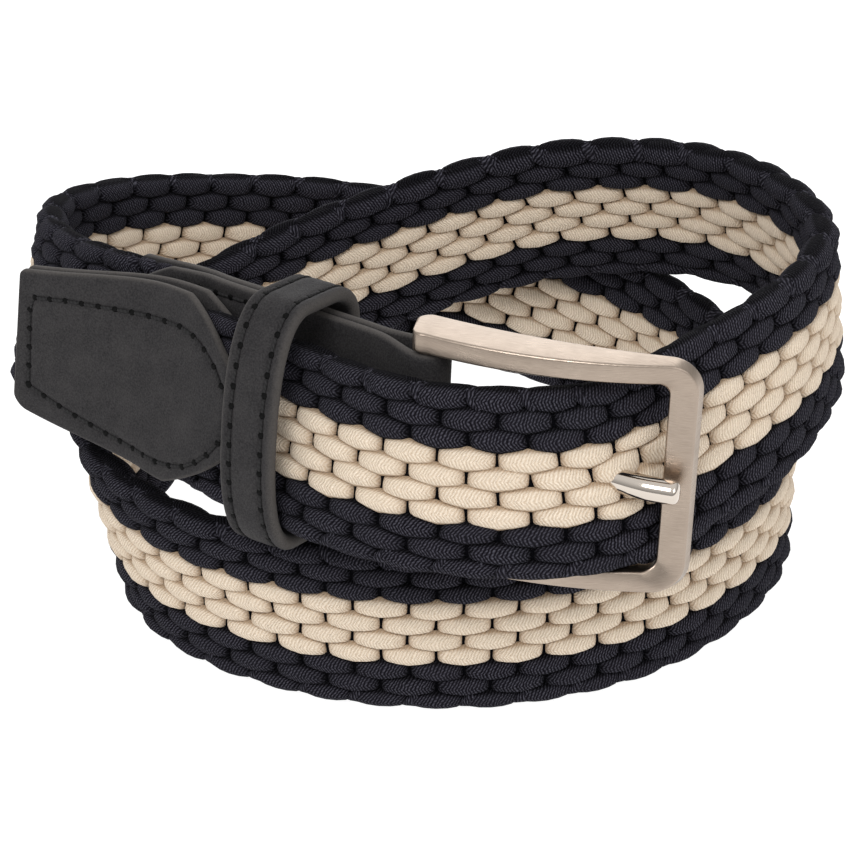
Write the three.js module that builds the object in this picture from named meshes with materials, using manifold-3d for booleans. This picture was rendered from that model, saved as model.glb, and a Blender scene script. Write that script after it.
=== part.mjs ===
// A braided stretch belt with leather ends and a metal buckle, coiled about two turns,
// fastened, and standing on the edge of its lower turn.
// Millimetres, +Z up. The belt's front, with the buckle, faces -Y.
import * as THREE from 'three';
import * as BufferGeometryUtils from 'three/addons/utils/BufferGeometryUtils.js';
import Module from 'manifold-3d';

const wasm = await Module();
wasm.setup();

// Driving sizes
const STRAP_WIDTH = 35;
const STRAP_THICKNESS = 5.5;
const LEATHER = 1.8;
const GAP = 0.3;
const BRAID_GAP = 0.45;

// The strap's middle line, wound clockwise as seen from above, from the buckle's heel bar
// to the tip of the free end. Each row is one place along the winding:
// turn      degrees wound from the buckle, which sits at the front
// radius    from the coil's upright axis
// height    of the strap's middle line
// lean      degrees that the strap's top edge leans outward
const ROUTE = [
  { turn: -30, radius: 92, height: 63, lean: -6 },
  { turn: 0, radius: 53, height: 60.6, lean: -6 },
  { turn: 30, radius: 42.6, height: 60, lean: -6 },
  { turn: 60, radius: 46.2, height: 58.1, lean: -12 },
  { turn: 75, radius: 54.7, height: 55.9, lean: -19 },
  { turn: 90, radius: 69, height: 52.6, lean: -22 },
  { turn: 105, radius: 80, height: 47.5, lean: -13 },
  { turn: 120, radius: 84.5, height: 42, lean: -3 },
  { turn: 150, radius: 79.5, height: 31, lean: 5 },
  { turn: 180, radius: 72.5, height: 24, lean: 10 },
  { turn: 210, radius: 69.6, height: 19.2, lean: 8 },
  { turn: 240, radius: 71, height: 17.5, lean: -3 },
  { turn: 270, radius: 70.8, height: 17.5, lean: 0 },
  { turn: 300, radius: 62.6, height: 17.5, lean: 0 },
  { turn: 330, radius: 55, height: 17.5, lean: 0 },
  { turn: 360, radius: 51.5, height: 17.5, lean: 0 },
  { turn: 390, radius: 53.3, height: 17.5, lean: 2 },
  { turn: 420, radius: 59.3, height: 17.5, lean: 6 },
  { turn: 435, radius: 61.8, height: 17.8, lean: 11 },
  { turn: 450, radius: 63, height: 19.2, lean: 16 },
  { turn: 465, radius: 61.7, height: 22, lean: 19 },
  { turn: 480, radius: 58.5, height: 25.5, lean: 12 },
  { turn: 510, radius: 53, height: 34, lean: -5 },
  { turn: 540, radius: 52, height: 42.2, lean: -11 },
  { turn: 570, radius: 60, height: 50.5, lean: -15 },
  { turn: 600, radius: 73.3, height: 56, lean: -16 },
  { turn: 630, radius: 77.2, height: 59, lean: -6 },
  { turn: 645, radius: 74.8, height: 60, lean: -7 },
  { turn: 660, radius: 72, height: 60.3, lean: -14 },
  { turn: 675, radius: 70.3, height: 60.4, lean: -17 },
  { turn: 690, radius: 70.2, height: 60.5, lean: -16 },
  { turn: 705, radius: 69.5, height: 60.1, lean: -15 },
  { turn: 720, radius: 64.5, height: 59.4, lean: -13 },
  { turn: 735, radius: 58, height: 58.5, lean: -14.5 },
  { turn: 750, radius: 53.5, height: 58, lean: -15 },
  { turn: 780, radius: 56, height: 57.2, lean: -15 },
  { turn: 795, radius: 67, height: 56.2, lean: -8 },
  { turn: 810, radius: 89, height: 55, lean: 0 },
];
const LAST_TURN = 804;

// The coil's axis, from the middle of the belt's whole outline
const AXIS_X = 0.8;
const AXIS_Y = -2.3;

// The braid, along the strap
const BRAID_START = 60;
const BRAID_STEP = 6;
const BRAID_ROUNDING = 2;
const BRAID_PINCH = 17;
const BRAID_END_THICKNESS = 1.8;
const BRAID_END_NARROWING = 1.2;

// The chape: leather folded round the heel bar, with two pointed ends; the back one is longer
const CHAPE_FRONT = { shoulder: 58, tip: 80 };
const CHAPE_BACK = { shoulder: 70, tip: 90 };
const CHAPE_MEETING = 12;
const CHAPE_SLOT_WIDTH = 6;
const CHAPE_SLOT_REACH = 8;

// The free end's leather tab: pointed towards the braid, narrowing to a blunt tip
const TAB_LENGTH = 60;
const TAB_POINT = 19;
const TAB_TOP = { shoulder: 19.4, tip: 14.8 };
const TAB_BOTTOM = { shoulder: 17.8, tip: 14.3 };
const TAB_TAPER_POWER = 1.5;
const TAB_SLANT = 2;
const TAB_BRAID_OVERLAP = 20;
const TAB_CLOSING = 24;
const TAB_CORNER = 3;
// Both leather ends are cut to the same rounded point
const POINT_SHOULDER_POWER = 1.1;
const POINT_TIP_POWER = 0.55;

// The keeper: a leather loop round the chape and the free end
const KEEPER_FROM_END = 64.2;
const KEEPER_LEAN = -10;
const KEEPER_WIDTH = 11.5;
const KEEPER_WALL = 2.8;
const KEEPER_HEIGHT = 48.4;
const KEEPER_RISE = 2;
const KEEPER_BACK_CORNER = 8;
const KEEPER_FRONT_BOW = 11;
const KEEPER_FRONT_POWER = 2.4;
const KEEPER_FRONT_STEPS = 22;
const KEEPER_INNER_BACK = -3.9;
const KEEPER_INNER_FRONT = 7.9;

// The buckle: a cast frame, thick at the heel, with a round heel bar and a straight prong.
// The levels of its front and back are measured out of the heel bar's middle: at the far bar,
// with the bow between the frame's ends and with what is added towards the heel
const BUCKLE_HEADING = 14.2;
const BUCKLE_LENGTH = 49.5;
const BUCKLE_HEIGHT = 45.8;
const BUCKLE_DROP = 0.4;
const BUCKLE_ARM = 4.4;
const BUCKLE_FAR_BAR = 5.8;
const BUCKLE_FRONT = { far: 1.8, bow: 3.8, heel: 2.4 };
const BUCKLE_BACK = { far: -1, bow: 2.2, heel: -3.1 };
const BUCKLE_CORNER = { outer: 6, inner: 2.5 };
const BUCKLE_HEEL_END = 2.4;
const BUCKLE_END_ROUNDING = { front: 1.8, back: 2.5 };
const BUCKLE_SLOPE = 0.6;
const BUCKLE_BEVEL = 0.4;
const BUCKLE_ARM_STEPS = 9;
const BUCKLE_CORNER_STEPS = 6;
const HEEL_RADIUS = 2.1;
const PRONG_RADIUS = 1.9;
const PRONG_TIP = 47.6;
const PRONG_DROP = 1;
const PRONG_HOLE_RADIUS = 2.5;
const PRONG_SIDES = 14;
const PRONG_EYE_WIDTH = 4.8;
const PRONG_EYE_WALL = 1.1;

/** Degrees to radians. */
const rad = THREE.MathUtils.degToRad;

/** The route's radius, height and lean at a turn, by cubic Hermite between the rows. */
function rowAt(turn) {
  let i = 1;
  while (i < ROUTE.length - 3 && ROUTE[i + 1].turn <= turn) {
    i += 1;
  }
  const [before, from, to, after] = [ROUTE[i - 1], ROUTE[i], ROUTE[i + 1], ROUTE[i + 2]];
  const span = to.turn - from.turn;
  const u = (turn - from.turn) / span;
  const blend = (name) => {
    const slopeFrom = (to[name] - before[name]) / (to.turn - before.turn);
    const slopeTo = (after[name] - from[name]) / (after.turn - from.turn);
    return (2 * u ** 3 - 3 * u ** 2 + 1) * from[name]
      + (u ** 3 - 2 * u ** 2 + u) * span * slopeFrom
      + (3 * u ** 2 - 2 * u ** 3) * to[name]
      + (u ** 3 - u ** 2) * span * slopeTo;
  };
  const height = Math.max(blend('height'), STRAP_WIDTH / 2);
  return { radius: blend('radius'), height, lean: blend('lean') };
}

/** The point of the middle line at a turn. */
function middleAt(turn) {
  const row = rowAt(turn);
  const angle = rad(-90 - turn);
  const x = AXIS_X + row.radius * Math.cos(angle);
  const y = AXIS_Y + row.radius * Math.sin(angle);
  return new THREE.Vector3(x, y, row.height);
}

// Length along the strap at each whole degree of turn
const lengths = [0];
for (let turn = 1; turn <= LAST_TURN; turn += 1) {
  lengths.push(lengths[turn - 1] + middleAt(turn).distanceTo(middleAt(turn - 1)));
}
const STRAP_LENGTH = lengths[LAST_TURN];
const BRAID_END = STRAP_LENGTH - TAB_LENGTH + TAB_BRAID_OVERLAP;

/** The turn at a length along the strap; past either end it runs on at the same rate. */
function turnAt(along) {
  let i = 0;
  while (i < LAST_TURN - 1 && lengths[i + 1] < along) {
    i += 1;
  }
  return i + (along - lengths[i]) / (lengths[i + 1] - lengths[i]);
}

/** The directions across and out of a band that runs forward with a lean in degrees. */
function leaning(forward, degrees) {
  const level = new THREE.Vector3(-forward.y, forward.x, 0).normalize();
  const upright = new THREE.Vector3().crossVectors(forward, level);
  const [c, s] = [Math.cos(rad(degrees)), Math.sin(rad(degrees))];
  const across = upright.clone().multiplyScalar(c).addScaledVector(level, s);
  const outward = level.clone().multiplyScalar(c).addScaledVector(upright, -s);
  return { across, outward };
}

/** The strap's place and directions at a length along it. */
function stationAt(along) {
  const turn = turnAt(along);
  const middle = middleAt(turn);
  const forward = middleAt(turn + 0.5).sub(middleAt(turn - 0.5)).normalize();
  return { middle, forward, ...leaning(forward, rowAt(turn).lean) };
}

/** The point at a length along the strap, a height across it and a depth out of its middle. */
function place(along, height, depth) {
  const at = stationAt(along);
  return at.middle.addScaledVector(at.across, height).addScaledVector(at.outward, depth);
}

/** A closed mesh through rings of points, with flat ends. */
function loft(rings) {
  const count = rings[0].length;
  const positions = rings.flat().flatMap((point) => [point.x, point.y, point.z]);
  const index = [];
  for (let r = 0; r < rings.length - 1; r += 1) {
    for (let k = 0; k < count; k += 1) {
      const a = r * count + k;
      const b = r * count + ((k + 1) % count);
      index.push(a, b, b + count, a, b + count, a + count);
    }
  }
  const last = (rings.length - 1) * count;
  for (let k = 1; k < count - 1; k += 1) {
    index.push(0, k + 1, k);
    index.push(last, last + k, last + k + 1);
  }
  const geometry = new THREE.BufferGeometry();
  geometry.setAttribute('position', new THREE.Float32BufferAttribute(positions, 3));
  geometry.setIndex(index);
  return facingOut(geometry);
}

/** The same mesh with its faces pointing out. */
function facingOut(geometry) {
  const position = geometry.getAttribute('position');
  const index = geometry.getIndex();
  const [a, b, c] = [new THREE.Vector3(), new THREE.Vector3(), new THREE.Vector3()];
  let volume = 0;
  for (let i = 0; i < index.count; i += 3) {
    a.fromBufferAttribute(position, index.getX(i));
    b.fromBufferAttribute(position, index.getX(i + 1));
    c.fromBufferAttribute(position, index.getX(i + 2));
    volume += a.dot(b.cross(c));
  }
  if (volume < 0) {
    for (let i = 0; i < index.count; i += 3) {
      const second = index.getX(i + 1);
      index.setX(i + 1, index.getX(i + 2));
      index.setX(i + 2, second);
    }
  }
  return geometry;
}

/** A solid for joining and cutting, from a closed mesh. */
function solidOf(geometry) {
  const bare = geometry.clone();
  bare.deleteAttribute('normal');
  bare.deleteAttribute('uv');
  const merged = BufferGeometryUtils.mergeVertices(bare, 1e-4);
  return new wasm.Manifold(new wasm.Mesh({
    numProp: 3,
    vertProperties: new Float32Array(merged.getAttribute('position').array),
    triVerts: new Uint32Array(merged.getIndex().array),
  }));
}

/** A mesh's geometry from a joined or cut solid. */
function geometryOf(solid) {
  const mesh = solid.getMesh();
  const geometry = new THREE.BufferGeometry();
  geometry.setAttribute('position', new THREE.BufferAttribute(mesh.vertProperties, 3));
  geometry.setIndex(new THREE.BufferAttribute(mesh.triVerts, 1));
  return geometry;
}

/** The corners of a flat band's section with round edges, as height and depth. */
function bandSection(halfWidth, halfThickness) {
  const corner = Math.min(BRAID_ROUNDING, halfThickness);
  const section = [];
  const centres = [[1, 1], [1, -1], [-1, -1], [-1, 1]];
  centres.forEach(([side, face], quarter) => {
    for (let k = 0; k < 4; k += 1) {
      const angle = (quarter + k / 3) * Math.PI / 2;
      section.push([
        side * (halfWidth - corner) + corner * Math.sin(angle),
        face * (halfThickness - corner) + corner * Math.cos(angle),
      ]);
    }
  });
  return section;
}

/** The buckle's axes at the heel bar: u along the frame, w up it and n out of it. */
function buckleAxes() {
  const heel = stationAt(0);
  const w = heel.across;
  const u = new THREE.Vector3(Math.cos(rad(BUCKLE_HEADING)), -Math.sin(rad(BUCKLE_HEADING)), 0);
  u.addScaledVector(w, -u.dot(w)).normalize();
  const n = new THREE.Vector3().crossVectors(u, w);
  return { origin: heel.middle, u, w, n };
}
const BUCKLE = buckleAxes();

/** A matrix that puts x, y and z on the buckle's u, w and n. */
function buckleMatrix() {
  return new THREE.Matrix4().makeBasis(BUCKLE.u, BUCKLE.w, BUCKLE.n).setPosition(BUCKLE.origin);
}

/** The level of the frame's front or back at a place along it. */
function frameLevel({ far, bow, heel }, u) {
  const t = THREE.MathUtils.clamp(u / BUCKLE_LENGTH, 0, 1);
  return far + bow * 4 * t * (1 - t) + heel * (1 - t);
}

/** Places along one edge of the frame, from the lower arm's end round to the upper arm's. */
function frameEdge(reach, high, corner) {
  const lower = [0, 0.3, 1.1].map((from) => new THREE.Vector2(from - BUCKLE_HEEL_END, -high));
  for (let k = 0; k < BUCKLE_ARM_STEPS; k += 1) {
    lower.push(new THREE.Vector2((reach - corner) * k / BUCKLE_ARM_STEPS, -high));
  }
  for (let k = 0; k <= BUCKLE_CORNER_STEPS; k += 1) {
    const angle = rad(90 * k / BUCKLE_CORNER_STEPS - 90);
    const centre = new THREE.Vector2(reach - corner, corner - high);
    lower.push(new THREE.Vector2(Math.cos(angle), Math.sin(angle)).multiplyScalar(corner).add(centre));
  }
  return [...lower, ...lower.map(({ x, y }) => new THREE.Vector2(x, -y)).reverse()];
}

/** How much a rounded end takes off a level, a distance from the end. */
function endRounding(radius, distance) {
  const left = Math.max(0, radius - distance);
  return radius - Math.sqrt(radius ** 2 - left ** 2);
}

/** One ring of the frame, from its inner edge's back round its front to its outer edge's back. */
function frameRing(outer, inner) {
  const fromEnd = outer.x + BUCKLE_HEEL_END;
  const front = frameLevel(BUCKLE_FRONT, outer.x) - endRounding(BUCKLE_END_ROUNDING.front, fromEnd);
  const back = frameLevel(BUCKLE_BACK, outer.x) + endRounding(BUCKLE_END_ROUNDING.back, fromEnd);
  const width = outer.distanceTo(inner);
  const rim = width - BUCKLE_SLOPE;
  const section = [
    [2 * BUCKLE_BEVEL, back],
    [0, back + 2 * BUCKLE_BEVEL],
    [0, front - BUCKLE_BEVEL],
    [BUCKLE_BEVEL, front],
    [rim - BUCKLE_BEVEL, front],
    [rim, front - BUCKLE_BEVEL],
    [width, back + 2 * BUCKLE_BEVEL],
    [width - 2 * BUCKLE_BEVEL, back],
  ];
  return section.map(([across, level]) => {
    const { x, y } = inner.clone().lerp(outer, across / width);
    return new THREE.Vector3(x, y - BUCKLE_DROP, level);
  });
}

/** How much of its whole section the braid has at a length along it; less under the leather. */
function braidFullness(along) {
  const fromEnd = Math.min(along - BRAID_START, BRAID_END - along);
  return THREE.MathUtils.smoothstep(fromEnd, 0, BRAID_PINCH);
}

/** Half the braid's thickness at a length along it. */
function braidHalfThickness(along) {
  return THREE.MathUtils.lerp(BRAID_END_THICKNESS, STRAP_THICKNESS, braidFullness(along)) / 2;
}

/** The braided band, thinner where leather is sewn over its ends, with the prong's hole. */
function makeBraidedStrap() {
  const steps = Math.round((BRAID_END - BRAID_START) / BRAID_STEP);
  const rings = [];
  for (let i = 0; i <= steps; i += 1) {
    const along = BRAID_START + (BRAID_END - BRAID_START) * i / steps;
    const narrowing = BRAID_END_NARROWING * (1 - braidFullness(along));
    const section = bandSection(STRAP_WIDTH / 2 - narrowing, braidHalfThickness(along));
    const at = stationAt(along);
    rings.push(section.map(([height, depth]) => at.middle.clone()
      .addScaledVector(at.across, height).addScaledVector(at.outward, depth)));
  }
  const hole = solidOf(prongRod(PRONG_HOLE_RADIUS, PRONG_TIP));
  return geometryOf(solidOf(loft(rings)).subtract(hole));
}

/** The share of its whole width that a leather end has, with some of its point's length left. */
function pointShare(left) {
  return (1 - Math.min(left, 0.997) ** POINT_SHOULDER_POWER) ** POINT_TIP_POWER;
}

/** The height of one of the tab's edges at a distance from its pointed end. */
function tabEdge({ shoulder, tip }, from) {
  if (from < TAB_POINT) {
    return shoulder * pointShare(1 - from / TAB_POINT);
  }
  const share = (from - TAB_POINT) / (TAB_LENGTH - TAB_POINT);
  const taper = THREE.MathUtils.lerp(shoulder, tip, share ** TAB_TAPER_POWER);
  const cornerStart = TAB_LENGTH - TAB_CORNER;
  if (from <= cornerStart) {
    return taper;
  }
  const t = (from - cornerStart) / TAB_CORNER;
  return taper - TAB_CORNER * (1 - Math.sqrt(1 - t * t));
}

/** One layer of the free end's tab; side 1 is the outer layer and -1 the inner. */
function makeTabLayer(side) {
  const start = STRAP_LENGTH - TAB_LENGTH;
  const places = [0, 0.4, 1.3, 2.8, 4.8, 7.2, 9.6, 12, 14.5, TAB_POINT];
  for (let from = TAB_POINT + 4; from < TAB_LENGTH - TAB_CORNER; from += 4) {
    places.push(from);
  }
  places.push(TAB_LENGTH - 3, TAB_LENGTH - 1.5, TAB_LENGTH - 0.6, TAB_LENGTH - 0.1);
  const rings = places.map((from) => {
    const along = start + from;
    const [top, bottom] = [tabEdge(TAB_TOP, from), -tabEdge(TAB_BOTTOM, from)];
    const slant = TAB_SLANT * (from / TAB_LENGTH) ** 3;
    const closed = THREE.MathUtils.smoothstep(along, BRAID_END, BRAID_END + TAB_CLOSING);
    const apart = THREE.MathUtils.lerp(braidHalfThickness(along) + BRAID_GAP, GAP / 2, closed);
    return [[top, apart], [top, apart + LEATHER], [bottom, apart + LEATHER], [bottom, apart]]
      .map(([height, depth]) => place(along - (height > 0 ? slant : 0), height, side * depth));
  });
  return loft(rings);
}

/** The lengths along the strap where a layer of the chape has a ring, from its tip to the fold. */
function chapeAlongs({ shoulder, tip }) {
  const alongs = [0, 0.3, 1.2, 2.6, 4.4, 6.6, 9, 12, 16, tip - shoulder].map((from) => tip - from);
  for (let along = shoulder - 4; along > 2; along -= 4) {
    alongs.push(along);
  }
  return alongs;
}

/** One ring of a layer of the chape; side 1 is the outer layer and -1 the inner. */
function chapeLayerRing(along, { shoulder, tip }, side) {
  const half = STRAP_WIDTH / 2 * pointShare(Math.max(0, along - shoulder) / (tip - shoulder));
  const inside = chapeApart(along);
  return chapeRing(half, along, side * inside, along, side * (inside + LEATHER));
}

/** Half the space between the chape's two layers at a length along them. */
function chapeApart(along) {
  const meeting = THREE.MathUtils.smoothstep(along, 0, CHAPE_MEETING);
  const parting = THREE.MathUtils.smoothstep(along, BRAID_START - CHAPE_MEETING, BRAID_START);
  const beforeBraid = THREE.MathUtils.lerp(HEEL_RADIUS + GAP, GAP / 2, meeting);
  return THREE.MathUtils.lerp(beforeBraid, braidHalfThickness(along) + BRAID_GAP, parting);
}

/** The chape: one strip of leather along the braid's front, round the heel bar and back. */
function makeChape() {
  const rings = chapeAlongs(CHAPE_FRONT).map((along) => chapeLayerRing(along, CHAPE_FRONT, 1));
  const foldSteps = 12;
  const inner = HEEL_RADIUS + GAP;
  const outer = inner + LEATHER;
  for (let k = 0; k <= foldSteps; k += 1) {
    const angle = Math.PI * k / foldSteps;
    const [reach, depth] = [-Math.sin(angle), Math.cos(angle)];
    rings.push(chapeRing(STRAP_WIDTH / 2, inner * reach, inner * depth, outer * reach, outer * depth));
  }
  rings.push(...chapeAlongs(CHAPE_BACK).toReversed().map((along) => chapeLayerRing(along, CHAPE_BACK, -1)));
  const slot = new THREE.BoxGeometry(2 * CHAPE_SLOT_REACH, CHAPE_SLOT_WIDTH, 4 * outer);
  slot.translate(0, -PRONG_DROP, 0);
  slot.applyMatrix4(buckleMatrix());
  return geometryOf(solidOf(loft(rings)).subtract(solidOf(slot)));
}

/** One ring of the chape's strip, between an inner and an outer place. */
function chapeRing(half, innerAlong, innerDepth, outerAlong, outerDepth) {
  return [
    chapePlace(innerAlong, half, innerDepth),
    chapePlace(outerAlong, half, outerDepth),
    chapePlace(outerAlong, -half, outerDepth),
    chapePlace(innerAlong, -half, innerDepth),
  ];
}

/** A place on the chape; before the heel bar it runs straight on. */
function chapePlace(along, height, depth) {
  if (along >= 0) {
    return place(along, height, depth);
  }
  return place(0, height, depth).addScaledVector(stationAt(0).forward, along);
}

/** An outline of the keeper from its back to its front, drawn in by a wall or by nothing. */
function keeperOutline(back, front, wall) {
  const [left, right, high] = [back + wall, front - wall, KEEPER_HEIGHT / 2 - wall];
  const [hind, bow] = [KEEPER_BACK_CORNER - wall, KEEPER_FRONT_BOW - wall];
  const shape = new THREE.Shape();
  shape.moveTo(right - bow, -high);
  for (let k = 1; k < KEEPER_FRONT_STEPS; k += 1) {
    const angle = Math.PI * (k / KEEPER_FRONT_STEPS - 0.5);
    const [reach, rise] = [Math.cos(angle), Math.abs(Math.sin(angle))]
      .map((share) => share ** (2 / KEEPER_FRONT_POWER));
    shape.lineTo(right - bow + bow * reach, Math.sign(angle) * high * rise);
  }
  shape.absarc(left + hind, high - hind, hind, Math.PI / 2, Math.PI, false);
  shape.absarc(left + hind, -high + hind, hind, Math.PI, 1.5 * Math.PI, false);
  shape.closePath();
  return shape;
}

/** The keeper's ring, square to the free end, from behind the chape to before the tab. */
function makeKeeper() {
  const at = stationAt(STRAP_LENGTH - KEEPER_FROM_END);
  const back = nearestChapePlace(at) + KEEPER_INNER_BACK - KEEPER_WALL;
  const front = KEEPER_INNER_FRONT + KEEPER_WALL;
  const ring = keeperOutline(back, front, 0);
  ring.holes.push(keeperOutline(back, front, KEEPER_WALL));
  const geometry = new THREE.ExtrudeGeometry(ring, {
    depth: KEEPER_WIDTH,
    bevelEnabled: false,
    curveSegments: 7,
  });
  geometry.translate(0, KEEPER_RISE, -KEEPER_WIDTH / 2);
  const { across, outward } = leaning(at.forward, KEEPER_LEAN);
  const cross = new THREE.Vector3().crossVectors(outward, across);
  geometry.applyMatrix4(new THREE.Matrix4().makeBasis(outward, across, cross).setPosition(at.middle));
  return geometry;
}

/** How deep inside the free end the chape's middle lies, where the keeper crosses both. */
function nearestChapePlace(at) {
  let best = { level: Infinity, depth: 0 };
  for (let along = CHAPE_MEETING; along < BRAID_START; along += 0.5) {
    const offset = stationAt(along).middle.sub(at.middle);
    const level = Math.abs(offset.dot(at.forward));
    if (level < best.level) {
      best = { level, depth: offset.dot(at.outward) };
    }
  }
  return best.depth;
}

/** The buckle's frame: two arms and a far bar, bowed outward, and a round heel bar. */
function makeBuckleFrame() {
  const half = BUCKLE_HEIGHT / 2;
  const outer = frameEdge(BUCKLE_LENGTH, half, BUCKLE_CORNER.outer);
  const inner = frameEdge(BUCKLE_LENGTH - BUCKLE_FAR_BAR, half - BUCKLE_ARM, BUCKLE_CORNER.inner);
  const bars = loft(outer.map((point, k) => frameRing(point, inner[k])));
  const heel = new THREE.CylinderGeometry(HEEL_RADIUS, HEEL_RADIUS, BUCKLE_HEIGHT - BUCKLE_ARM, 14);
  heel.translate(0, -BUCKLE_DROP, 0);
  const frame = geometryOf(solidOf(bars).add(solidOf(heel)));
  frame.applyMatrix4(buckleMatrix());
  return frame;
}

/** The prong's middle line: it leaves the heel bar's front and ends on the far bar. */
function prongLine() {
  const rest = frameLevel(BUCKLE_FRONT, BUCKLE_LENGTH - BUCKLE_FAR_BAR) + GAP + PRONG_RADIUS;
  return { from: new THREE.Vector2(0, HEEL_RADIUS + GAP), to: new THREE.Vector2(PRONG_TIP, rest) };
}

/** A straight rod along the prong's line, with a round tip. */
function prongRod(radius, reach) {
  const { from, to } = prongLine();
  const length = reach - radius;
  const profile = [new THREE.Vector2(0, 0), new THREE.Vector2(radius, 0), new THREE.Vector2(radius, length)];
  for (let k = 1; k < 4; k += 1) {
    const angle = Math.PI / 2 * k / 4;
    profile.push(new THREE.Vector2(radius * Math.cos(angle), length + radius * Math.sin(angle)));
  }
  profile.push(new THREE.Vector2(0, length + radius));
  const rod = new THREE.LatheGeometry(profile, PRONG_SIDES);
  rod.rotateZ(-Math.PI / 2);
  const slope = Math.atan2(to.y - from.y, to.x - from.x);
  rod.rotateY(-slope);
  rod.translate(from.x, -PRONG_DROP, from.y);
  rod.applyMatrix4(buckleMatrix());
  return rod;
}

/** The prong: an eye round the heel bar and the rod. */
function makeProng() {
  const eyeInner = HEEL_RADIUS + GAP;
  const halfWidth = PRONG_EYE_WIDTH / 2;
  const eye = new THREE.LatheGeometry([
    new THREE.Vector2(eyeInner, -halfWidth),
    new THREE.Vector2(eyeInner + PRONG_EYE_WALL, -halfWidth),
    new THREE.Vector2(eyeInner + PRONG_EYE_WALL, halfWidth),
    new THREE.Vector2(eyeInner, halfWidth),
    new THREE.Vector2(eyeInner, -halfWidth),
  ], 20);
  eye.translate(0, -PRONG_DROP, 0);
  eye.applyMatrix4(buckleMatrix());
  const bore = new THREE.CylinderGeometry(eyeInner, eyeInner, BUCKLE_HEIGHT, 20);
  bore.applyMatrix4(buckleMatrix());
  const rod = solidOf(prongRod(PRONG_RADIUS, PRONG_TIP));
  return geometryOf(rod.subtract(solidOf(bore)).add(solidOf(eye)));
}

/** Matt leather. */
function leather(colour) {
  return new THREE.MeshStandardMaterial({ color: colour, roughness: 0.85, metalness: 0 });
}

/** Metal of one roughness. */
function metal(colour, roughness) {
  return new THREE.MeshStandardMaterial({ color: colour, roughness, metalness: 1 });
}

const PIECES = [
  ['braided_strap', makeBraidedStrap(), new THREE.MeshStandardMaterial({ color: 0x24252f, roughness: 0.9 })],
  ['chape', makeChape(), leather(0x3b3b3d)],
  ['end_tab_front', makeTabLayer(1), leather(0x3e3e40)],
  ['end_tab_back', makeTabLayer(-1), leather(0x343436)],
  ['keeper_loop', makeKeeper(), leather(0x3b3b3d)],
  ['buckle_frame', makeBuckleFrame(), metal(0xcfc6bd, 0.35)],
  ['buckle_prong', makeProng(), metal(0xd8d6d4, 0.12)],
];

const belt = new THREE.Group();
belt.name = 'braided_belt';
for (const [name, geometry, material] of PIECES) {
  geometry.computeVertexNormals();
  const mesh = new THREE.Mesh(geometry, material);
  mesh.name = name;
  belt.add(mesh);
}

export default belt;
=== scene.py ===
"""A braided stretch belt with leather ends, coiled about two turns and fastened.

Shapes are worked out in millimetres in strap coordinates: the length along the strap from
the buckle's heel bar, the height across the strap and the depth out of its middle. A route
of rows wound round an upright axis turns them into places in the row's frame.
"""

import logging
import math
from dataclasses import dataclass, field
from enum import Enum
from functools import partial, partialmethod
from typing import Any, Callable, Sequence

import bpy
import numpy as np
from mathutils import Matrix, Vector


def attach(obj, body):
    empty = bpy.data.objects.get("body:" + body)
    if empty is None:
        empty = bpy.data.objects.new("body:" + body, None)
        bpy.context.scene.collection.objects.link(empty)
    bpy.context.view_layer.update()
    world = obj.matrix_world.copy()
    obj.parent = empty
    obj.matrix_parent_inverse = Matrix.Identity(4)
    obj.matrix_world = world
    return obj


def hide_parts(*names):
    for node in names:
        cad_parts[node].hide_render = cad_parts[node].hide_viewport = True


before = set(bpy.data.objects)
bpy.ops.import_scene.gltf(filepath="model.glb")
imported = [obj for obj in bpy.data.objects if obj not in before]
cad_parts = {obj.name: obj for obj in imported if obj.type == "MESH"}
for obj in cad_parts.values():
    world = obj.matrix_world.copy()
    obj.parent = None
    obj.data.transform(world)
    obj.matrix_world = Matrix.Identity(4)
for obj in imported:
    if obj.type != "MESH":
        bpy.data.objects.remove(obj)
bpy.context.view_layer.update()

Array = np.ndarray
Colour = tuple[float, float, float]
Piece = bpy.types.Object
Material = bpy.types.Material
# Gives the points at sheet coordinates and a rise over the surface
PlaceOn = Callable[[Array, Array, Array], Array]

LOG = logging.getLogger("belt")
MM = 0.001
BODY = "root"
SQUARE = ((-1, -1), (1, -1), (1, 1), (-1, 1))
# Where a stitch has its rings, from end to end, and the degrees where each ring has its places
STITCH_STOPS = np.array([-1.0, -0.985, -0.93, -0.8, -0.45, 0.0, 0.45, 0.8, 0.93, 0.985, 1.0])
STITCH_DEGREES = (0, 36, 72, 112, 156, 204, 248, 288, 324)

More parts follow.
